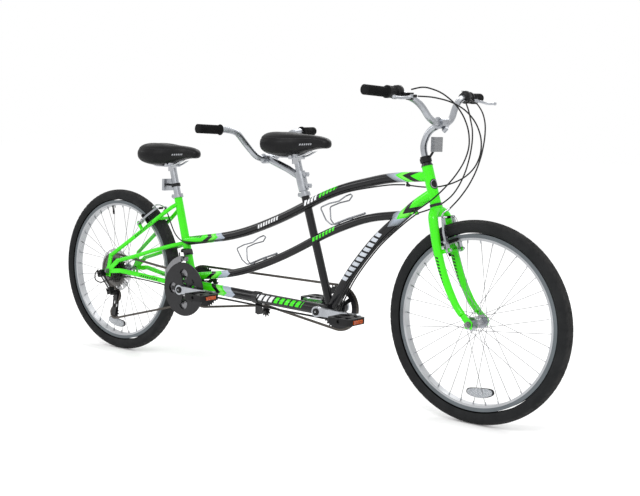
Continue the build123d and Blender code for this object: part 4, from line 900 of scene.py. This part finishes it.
CABLE_ENDS = {"front": (0.738, -0.032, 0.690), "rear": (-0.592, 0.0, 0.604)}
NOODLES = {"front": [(122, -46, 16), (112, -49, 8), (107, -40, 3), (107, -24, 3), (107, -12, 3)],
           "rear": [(124, -18, 10), (124, -40, 8), (112, -49, 6), (107, -40, 3), (107, -24, 3),
                    (107, -12, 3)]}
brake_trim("front", "steering")
brake_trim("rear", "frame")


# ---------------------------------------------------------------- crank caps and spindle bolts
def crank_trim(end):
    """Socket bolt on the spindle and a dust cap on each side."""
    centre = CRANK_CENTRES[end]
    piece = Piece(end + "_crank_trim", end + "_cranks", "steel", LOOK["chrome"], LOOK["plastic"])
    low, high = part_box(end + "_crank")
    for side, face in ((-1, low.y), (1, high.y)):
        place = Vector((centre.x, face, centre.z))
        cap = [(12.5 * MM, -1 * MM), (12.5 * MM, 1.2 * MM), (11 * MM, 2.2 * MM), (3 * MM, 2.6 * MM)]
        piece.skin(lathe_rings(cap, place, Y * side, 32), 1)
        piece.screw(place + Y * side * 2 * MM, Y * side, 3 * MM, 1.2 * MM, 0)
    piece.done()


crank_trim("front")
crank_trim("rear")

# ---------------------------------------------------------------- head badge and rear lens
badge = Piece("head_badge", "frame", "black_paint", LOOK["plastic"], LOOK["alloy"])
side = across(STEER_AXIS)[0]
forward = STEER_AXIS.cross(side)
if forward.x < 0:
    forward = -forward
low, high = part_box("head_tube")
badge_middle = STEER_POINT + STEER_AXIS * (((low.z + high.z) / 2 - STEER_POINT.z) / STEER_AXIS.z)
HEAD_RADIUS = 18.5 * MM
BADGE_TURN = radians(-24)
for look, sizes, lift in ((0, (0.0, 0.5, 1.0), 0.9), (1, (0.72, 0.78, 0.84), 1.2)):
    rings = []
    for share in sizes:
        ring = []
        for i in range(48):
            turn = 2 * pi * i / 48
            around = BADGE_TURN + max(share, 0.01) * 15 * MM * cos(turn) / HEAD_RADIUS
            up = max(share, 0.01) * 17 * MM * sin(turn)
            out = forward * cos(around) + side * sin(around)
            ring.append(badge_middle + STEER_AXIS * up + out * (HEAD_RADIUS + lift * MM))
        rings.append(ring)
    outer = [p - (p - badge_middle).normalized() * 1.2 * MM for p in rings[-1]]
    inner = [p - (p - badge_middle).normalized() * 1.2 * MM for p in rings[0]]
    badge.skin([inner] + rings + [outer], look, closed=True)
badge.done()

wide = [points for _, points in islands(cad["seatposts"]) if size_of(points)[1] > 50 * MM]
lens_box = min(wide, key=lambda points: points.min(0)[0] + points.max(0)[0])
low, high = Vector(lens_box.min(0)), Vector(lens_box.max(0))
rear_lens = Piece("rear_lens", "frame", "black_plastic", LOOK["red"])
rear_lens.box(((low.x - 0.0012), 0, (low.z + high.z) / 2), (0.0014, 0.024, 0.020), edge=0.0008)
rear_lens.done()

# ---------------------------------------------------------------- floor, light and camera
floor_mesh = bpy.data.meshes.new("floor")
span = 30.0
corners = [(-span, -span, 0), (span, -span, 0), (span, span, 0), (-span, span, 0)]
floor_mesh.from_pydata(corners, [], [(0, 1, 2, 3)])
floor_look = Finish("floor_pale", tone(246, 246, 246), 0.8, Specular_IOR_Level=0.0, Emission_Strength=0.1,
                    Emission_Color=(1, 1, 1, 1)).vary(0.01, 0.6)
floor_mesh.materials.append(floor_look.done())
floor = bpy.data.objects.new("floor", floor_mesh)
bpy.context.scene.collection.objects.link(floor)

world = bpy.data.worlds.new("studio")
world.use_nodes = True
world.node_tree.nodes["Background"].inputs["Color"].default_value = (1, 1, 1, 1)
world.node_tree.nodes["Background"].inputs["Strength"].default_value = 1.0
bpy.context.scene.world = world
bpy.context.scene.view_settings.view_transform = "Standard"


def softbox(name, place, target, size, power):
    light = bpy.data.lights.new(name, "AREA")
    light.shape, light.size, light.size_y, light.energy = "RECTANGLE", *size, power
    obj = bpy.data.objects.new(name, light)
    obj.location = place
    obj.rotation_euler = (Vector(target) - Vector(place)).to_track_quat("-Z", "Y").to_euler()
    bpy.context.scene.collection.objects.link(obj)


softbox("key", (2.0, -2.6, 3.4), (0, 0, 0.5), (2.2, 1.0), 60)
softbox("fill", (-3.4, -2.2, 2.6), (0, 0, 0.5), (2.4, 0.8), 25)
softbox("back", (-0.6, 3.2, 3.0), (0, 0, 0.6), (3.0, 1.0), 40)

CAMERA_PLACE = Vector((2.5432, -3.0339, 0.9405))
CAMERA_AZIMUTH, CAMERA_ELEVATION, CAMERA_ROLL = radians(37.75), radians(6.37), radians(1.638)
back = Vector((sin(CAMERA_AZIMUTH) * cos(CAMERA_ELEVATION), -cos(CAMERA_AZIMUTH) * cos(CAMERA_ELEVATION),
               sin(CAMERA_ELEVATION)))
right = Vector((cos(CAMERA_AZIMUTH), sin(CAMERA_AZIMUTH), 0))
upward = back.cross(right)
rolled_right = cos(CAMERA_ROLL) * right + sin(CAMERA_ROLL) * upward
rolled_up = cos(CAMERA_ROLL) * upward - sin(CAMERA_ROLL) * right
lens = bpy.data.cameras.new("camera")
lens.lens, lens.sensor_width = 61.28, 36.0
camera = bpy.data.objects.new("camera", lens)
turned = Matrix((rolled_right, rolled_up, back)).transposed().to_4x4()
camera.matrix_world = Matrix.Translation(CAMERA_PLACE) @ turned
bpy.context.scene.collection.objects.link(camera)
bpy.context.scene.camera = camera
